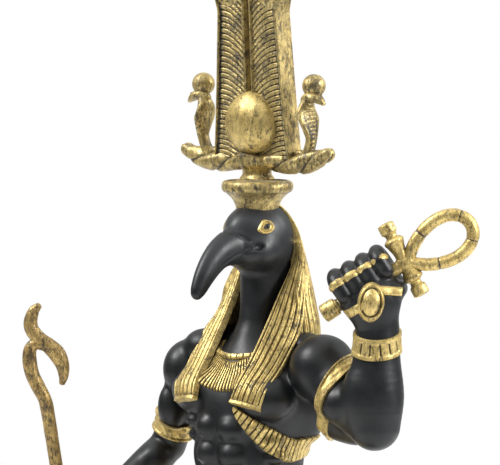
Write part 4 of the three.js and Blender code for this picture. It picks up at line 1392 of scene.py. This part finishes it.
# Outward, upward, half breadth and half thickness of a cobra's body, face and tail
COBRA = [
    (-3.0, 5.6, 2.3, 2.0), (-2.0, 8, 2.2, 1.7), (-1.0, 10.2, 2.1, 1.55), (-0.3, 12.8, 2.3, 1.5),
    (-0.6, 15.6, 3.4, 1.45), (-1.2, 18.4, 4.4, 1.45), (-2.0, 21.2, 3.7, 1.5), (-1.4, 23.8, 2.3, 1.7),
]
COBRA_FACE = [
    (-1.9, 24.2, 2, 1.6), (-0.3, 25, 2.4, 1.8), (1.7, 24.8, 2.5, 1.5), (3.5, 23.9, 1.7, 1.1),
    (4.5, 23.2, 0.9, 0.7),
]
COBRA_TAIL = [(-3, 7.4, 1.3, 1.3), (-5, 8.2, 1.2, 1.2), (-6.6, 7.6, 1.1, 1.1), (-7, 6, 1.0, 1.0)]
RUNGS = 17
COBRA_DISK = 3.5
COBRA_DISK_PLACE = (0, 28.2)


def cobra(side):
    def place(out, z, y=COBRA_BACK):
        return vec(side * (COBRA_PLACE + out), y, z)

    def front(angle):
        """One on the side of the body that faces outward."""
        return np.maximum(0, -np.sin(angle) * side)

    def relief(angle, share):
        hollow = 0.42 * front(angle) ** 2 * np.sin(np.pi * np.clip(share * 1.15, 0, 1))
        return 0.24 * front(angle) ** 10 * (0.6 + 0.4 * np.cos(share * TAU * RUNGS)) - hollow

    def wash_and_painted_light(angle, share):
        rung = groove(share * RUNGS, 0.25) * front(angle) ** 10
        pit = ridge(front(angle), 0.75, 0.22) * np.sin(np.pi * share)
        return np.clip(0.8 * pit + 0.7 * rung, 0, 1)

    def tube(rows, count, *options):
        rows = curve(rows, count)
        return sweep([place(*row[:2]) for row in rows], rows[:, 2], rows[:, 3], BEHIND, *options)

    body = tube(COBRA, 90, 56, 0.8, relief, wash_and_painted_light)
    eyes = [orb(place(2.3, 25.5, COBRA_BACK + s * 1.7), (0.45, 0.4, 0.4), 12) for s in (1, -1)]
    disk = orb(place(*COBRA_DISK_PLACE, 1.7), COBRA_DISK)
    return merged(body, tube(COBRA_FACE, 24, 28), *eyes, disk, tube(COBRA_TAIL, 24, 20))


crown_piece("ram_horns", horns())
crown_piece("crown_stem", crown_stem())
crown_piece("sun_disk", sun_disk(), BRIGHT_GOLD)
for word, side in SIDES:
    crown_piece(f"plume_{word}", plume(side))
    crown_piece(f"cobra_{word}", cobra(side))

# Ankh
STEM_HALF = 2
TAIL = 14.3
CROSSING = 13.5
LOOP_LENGTH = 20.8
LOOP_HALF = 7.28
LOOP_LIFT = -0.005
LOOP_JOINTS = (0.2, 0.42, 0.6, 0.8)
ARM_UP = 1.3
ARM_LEAN = 0.07
# Distance along an arm of the ankh and its thickness there: a flare, a waist and an end block
ANKH_ARM_ROWS = [
    (0, 0.95), (2.4, 1), (4.6, 1.3), (5.8, 1.5), (6.5, 1.3),
    (7.2, 0.85), (8.2, 0.95), (8.8, 1.2), (11.1, 1.22),
]
ANKH_TAIL_ROWS = [(-TAIL, 0, 2.7), (-TAIL + 4, 0, 2.6), (-TAIL + 6, 0, 2), (CROSSING + 2, 0, 2)]


def ankh_point(along, up):
    """Places at distances along the ankh's stem and along its arms."""
    along, up = np.asarray(along)[..., None], np.asarray(up)[..., None]
    return vec(*GRIP["left"]) + ANKH_AXIS * along + ANKH_ARM * up


def ankh_bar(rows, joint=-1):
    """A bar along rows of along, up and radius, with a joint at a share of its length if any."""
    along, up, radius = curve(rows, 90).T

    def cut(angle, share):
        return ridge(share, joint, 0.012)

    relief, wash_and_painted_light = (lambda a, s: -0.12 * cut(a, s)), (lambda a, s: 0.9 * cut(a, s))
    return sweep(ankh_point(along, up), radius, radius, ANKH_FACE, 32, 0.25, relief, wash_and_painted_light)


def ankh_loop():
    turn = turns(160)
    reach = (1 - np.cos(turn)) / 2
    along = reach * LOOP_LENGTH
    up = np.sin(turn) * np.maximum(reach, 1e-4) ** 0.3 * LOOP_HALF + along * LOOP_LIFT
    path = ankh_point(CROSSING + 1.1 + along, up)
    side = np.cross(unit(np.roll(path, -1, 0) - np.roll(path, 1, 0)), ANKH_FACE)
    joint = sum(ridge(turn / TAU, place, 0.006) for place in LOOP_JOINTS)[:, None]
    angle, size = turns(28), STEM_HALF * (1 - 0.1 * joint)
    rings = path[:, None] + (size * np.cos(angle))[..., None] * side[:, None] * 0.94
    return loft(rings + (size * np.sin(angle))[..., None] * ANKH_FACE, joint * 0.9, loop=True)


def ankh():
    arms = []
    for side in (1, -1):
        reach, size = np.array(ANKH_ARM_ROWS).T
        up = side * reach + ARM_UP
        arms.append(ankh_bar(np.stack([CROSSING + ARM_LEAN * up, up, STEM_HALF * size], -1)))
    boss = orb(0, 1, 32)
    boss.points = boss.points @ np.stack([ANKH_AXIS * 3.1, ANKH_ARM * 2.9, ANKH_FACE * 2.25])
    boss.points = boss.points + ankh_point(CROSSING, 0)
    return merged(ankh_bar(ANKH_TAIL_ROWS, 0.2), *arms, boss, ankh_loop())


gold("ankh_loop_and_bars", ankh(), node="ankh")

# Sceptre with the long-eared animal's head
SHAFT_RADIUS = 2
SCEPTRE_TOP = 171
ROD_PLACE = vec(-46.5, -32.4, 122)
ROD_LEAN = vec(-0.0715, -0.14, 1)
HEAD_SHIFT = 1.0
SNOUT = vec(0.8, 0.6, 0)
# Distance toward the snout, height from the rod's top, and radius
SCEPTRE_NECK = [
    (1.4, -18, 2.05), (0.7, -12.5, 2.05), (0.2, -9, 2.1), (-0.6, -6.2, 2.05), (-2.3, -3, 2.15),
    (-4, 0.6, 2.15), (-4.8, 4.4, 2.2), (-4.7, 8, 2.0), (-3, 9.9, 1.8), (-0.6, 9.4, 1.6),
]
SCEPTRE_LIMB = [
    (-2.1, 21.4, 1.1), (-3.6, 19.6, 1.75), (-4.5, 16.6, 2.1), (-3.9, 13.9, 2.2), (-1.6, 11.3, 2.2),
    (1.2, 9.2, 2.4), (3.6, 6.8, 2.6), (5.2, 3.4, 2.1), (5.5, 0.2, 1.5), (5.1, -1.9, 0.95),
]
FERRULE = [(0, 1.5), (0.12, 1.5), (0.2, 1.3), (0.8, 1.25), (0.88, 1.4), (1, 1.2)]
FERRULE_HEIGHT = 6


def sceptre_at(z):
    return ROD_PLACE + ROD_LEAN * (np.asarray(z)[..., None] - ROD_PLACE[2])


def sceptre_head(rows, flat):
    """A curved part of the head, whose lower end runs into the straight rod."""
    toward, z, radius = curve(rows, 110).T[..., None]
    path = sceptre_at(SCEPTRE_TOP) + (toward + HEAD_SHIFT) * SNOUT + z * UP
    straight = sceptre_at(SCEPTRE_TOP + z[:, 0])
    path = straight + (path - straight) * ease(-13, -5, z)
    return sweep(path, radius[:, 0] * flat, radius[:, 0], np.cross(UP, SNOUT), 32, 0.8)


def sceptre():
    foot = SHAFT_RADIUS * 0.25
    path = sceptre_at(np.linspace(foot, SCEPTRE_TOP - 16, 60))
    rod = sweep(path, SHAFT_RADIUS, SHAFT_RADIUS, LEFT, 28, 0)
    share, size = curve(FERRULE, 40).T
    radius = SHAFT_RADIUS * size
    ferrule = sweep(sceptre_at(foot + share * FERRULE_HEIGHT), radius, radius, LEFT, 32, 0)
    shape = merged(sceptre_head(SCEPTRE_NECK, 1), sceptre_head(SCEPTRE_LIMB, 0.92), rod, ferrule)
    shape.points[:, 2] = np.maximum(shape.points[:, 2], 0)
    return shape


gold("sceptre", sceptre(), DULL_GOLD, "was_sceptre")

# Plinth
PLINTH_LOW, PLINTH_HIGH = (vec(*corner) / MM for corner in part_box("plinth"))
PLINTH_EDGE = 1.5
PLINTH_CORNER = 2


def plinth():
    half = (PLINTH_HIGH - PLINTH_LOW)[:2] / 2
    bevel = np.linspace(0, np.pi / 2, 7)
    rows = [(0.4, 0), (0, 0.4)]
    rows += [(0, z) for z in np.linspace(1.5, PLINTH_HEIGHT - PLINTH_EDGE, 8)]
    for b in bevel[1:]:
        rows.append((PLINTH_EDGE * (1 - np.cos(b)), PLINTH_HEIGHT - PLINTH_EDGE * (1 - np.sin(b))))
    rows += [(inset, PLINTH_HEIGHT) for inset in np.linspace(6, 44, 12)]
    rings = []
    for inset, z in rows:
        radius = max(0.5, PLINTH_CORNER - inset * 0.3)
        ring = []
        for k, corner in enumerate([(1, 1), (-1, 1), (-1, -1), (1, -1)]):
            x, y = (half - inset - radius) * corner
            for t in bevel + k * np.pi / 2:
                ring.append((x + radius * np.cos(t), y + radius * np.sin(t), z - SOLE))
        rings.append(ring)
    return loft(np.array(rings))


black("base", plinth(), "plinth")

# Floor, light and camera, in metres
FLOOR_RADIUS = 0.6
FLOOR_COLOUR = (0.8, 0.8, 0.8, 1)


def floor():
    mesh = bpy.data.meshes.new("floor")
    corners = [(FLOOR_RADIUS * math.cos(t), FLOOR_RADIUS * math.sin(t), 0) for t in turns(96)]
    mesh.from_pydata(corners, [], [tuple(range(len(corners)))])
    material = bpy.data.materials.new("floor")
    material.use_nodes = True
    shader = material.node_tree.nodes["Principled BSDF"]
    shader.inputs["Base Color"].default_value = FLOOR_COLOUR
    shader.inputs["Roughness"].default_value = 0.9
    mesh.materials.append(material)
    piece = bpy.data.objects.new("floor", mesh)
    bpy.context.scene.collection.objects.link(piece)


CAMERA_TURN = math.radians(42)
CAMERA_RISE = math.radians(4)
CAMERA_AWAY = 0.9
AIM = vec(0, 0, 0.22725) - vec(math.cos(CAMERA_TURN), math.sin(CAMERA_TURN), 0) * 0.0006
LENS = 216  # millimetres, as the sensor's width
SENSOR = 36
CLIP_START = 0.01
toward = vec(
    math.sin(CAMERA_TURN) * math.cos(CAMERA_RISE),
    -math.cos(CAMERA_TURN) * math.cos(CAMERA_RISE),
    math.sin(CAMERA_RISE),
)
LIT = vec(0, 0, 0.2)  # where the lamps aim
# Place, size and power
LIGHTS = {
    "key": ((-0.5, -0.6, 0.95), 0.4, 11),
    "fill": ((0.95, 0.3, 0.6), 0.35, 10),
    "rim": ((0.6, 0.8, 0.7), 0.5, 4),
}
CEILING = 1.5
DIM = 0.1


def hold(name, data, place, direction):
    """Puts a camera or lamp at a place, turned along a direction."""
    piece = bpy.data.objects.new(name, data)
    x, y, z = unit(direction)
    piece.location = place
    piece.rotation_euler = (math.acos(-z), 0, math.atan2(-x, y))
    bpy.context.scene.collection.objects.link(piece)
    return piece


def studio():
    """A white wall behind the object as the camera sees it, a bright ceiling, and dim elsewhere."""
    world = bpy.data.worlds.new("studio")
    p = Nodes(world, "Generated")
    wall_light = p.remap(p.dot(p.place, -toward), 0.5, 0.93, 0, 1)
    ceiling = p.remap(p.dot(p.place, UP), 0.2, 0.95, 0, CEILING)
    background = p.tree.nodes["Background"]
    p.plug(background.inputs["Strength"], p.maths("MAXIMUM", wall_light, p.maths("MAXIMUM", ceiling, DIM)))
    background.inputs["Color"].default_value = (1, 1, 1, 1)
    bpy.context.scene.world = world


floor()
studio()
for name, (place, size, power) in LIGHTS.items():
    lamp = bpy.data.lights.new(name, "AREA")
    lamp.shape = "DISK"
    lamp.size = size
    lamp.energy = power
    hold(name, lamp, place, LIT - place)

camera = bpy.data.cameras.new("camera")
camera.lens = LENS
camera.sensor_width = SENSOR
camera.clip_start = CLIP_START
bpy.context.scene.camera = hold("camera", camera, AIM + toward * CAMERA_AWAY, -toward)
bpy.context.scene.view_settings.view_transform = "Standard"
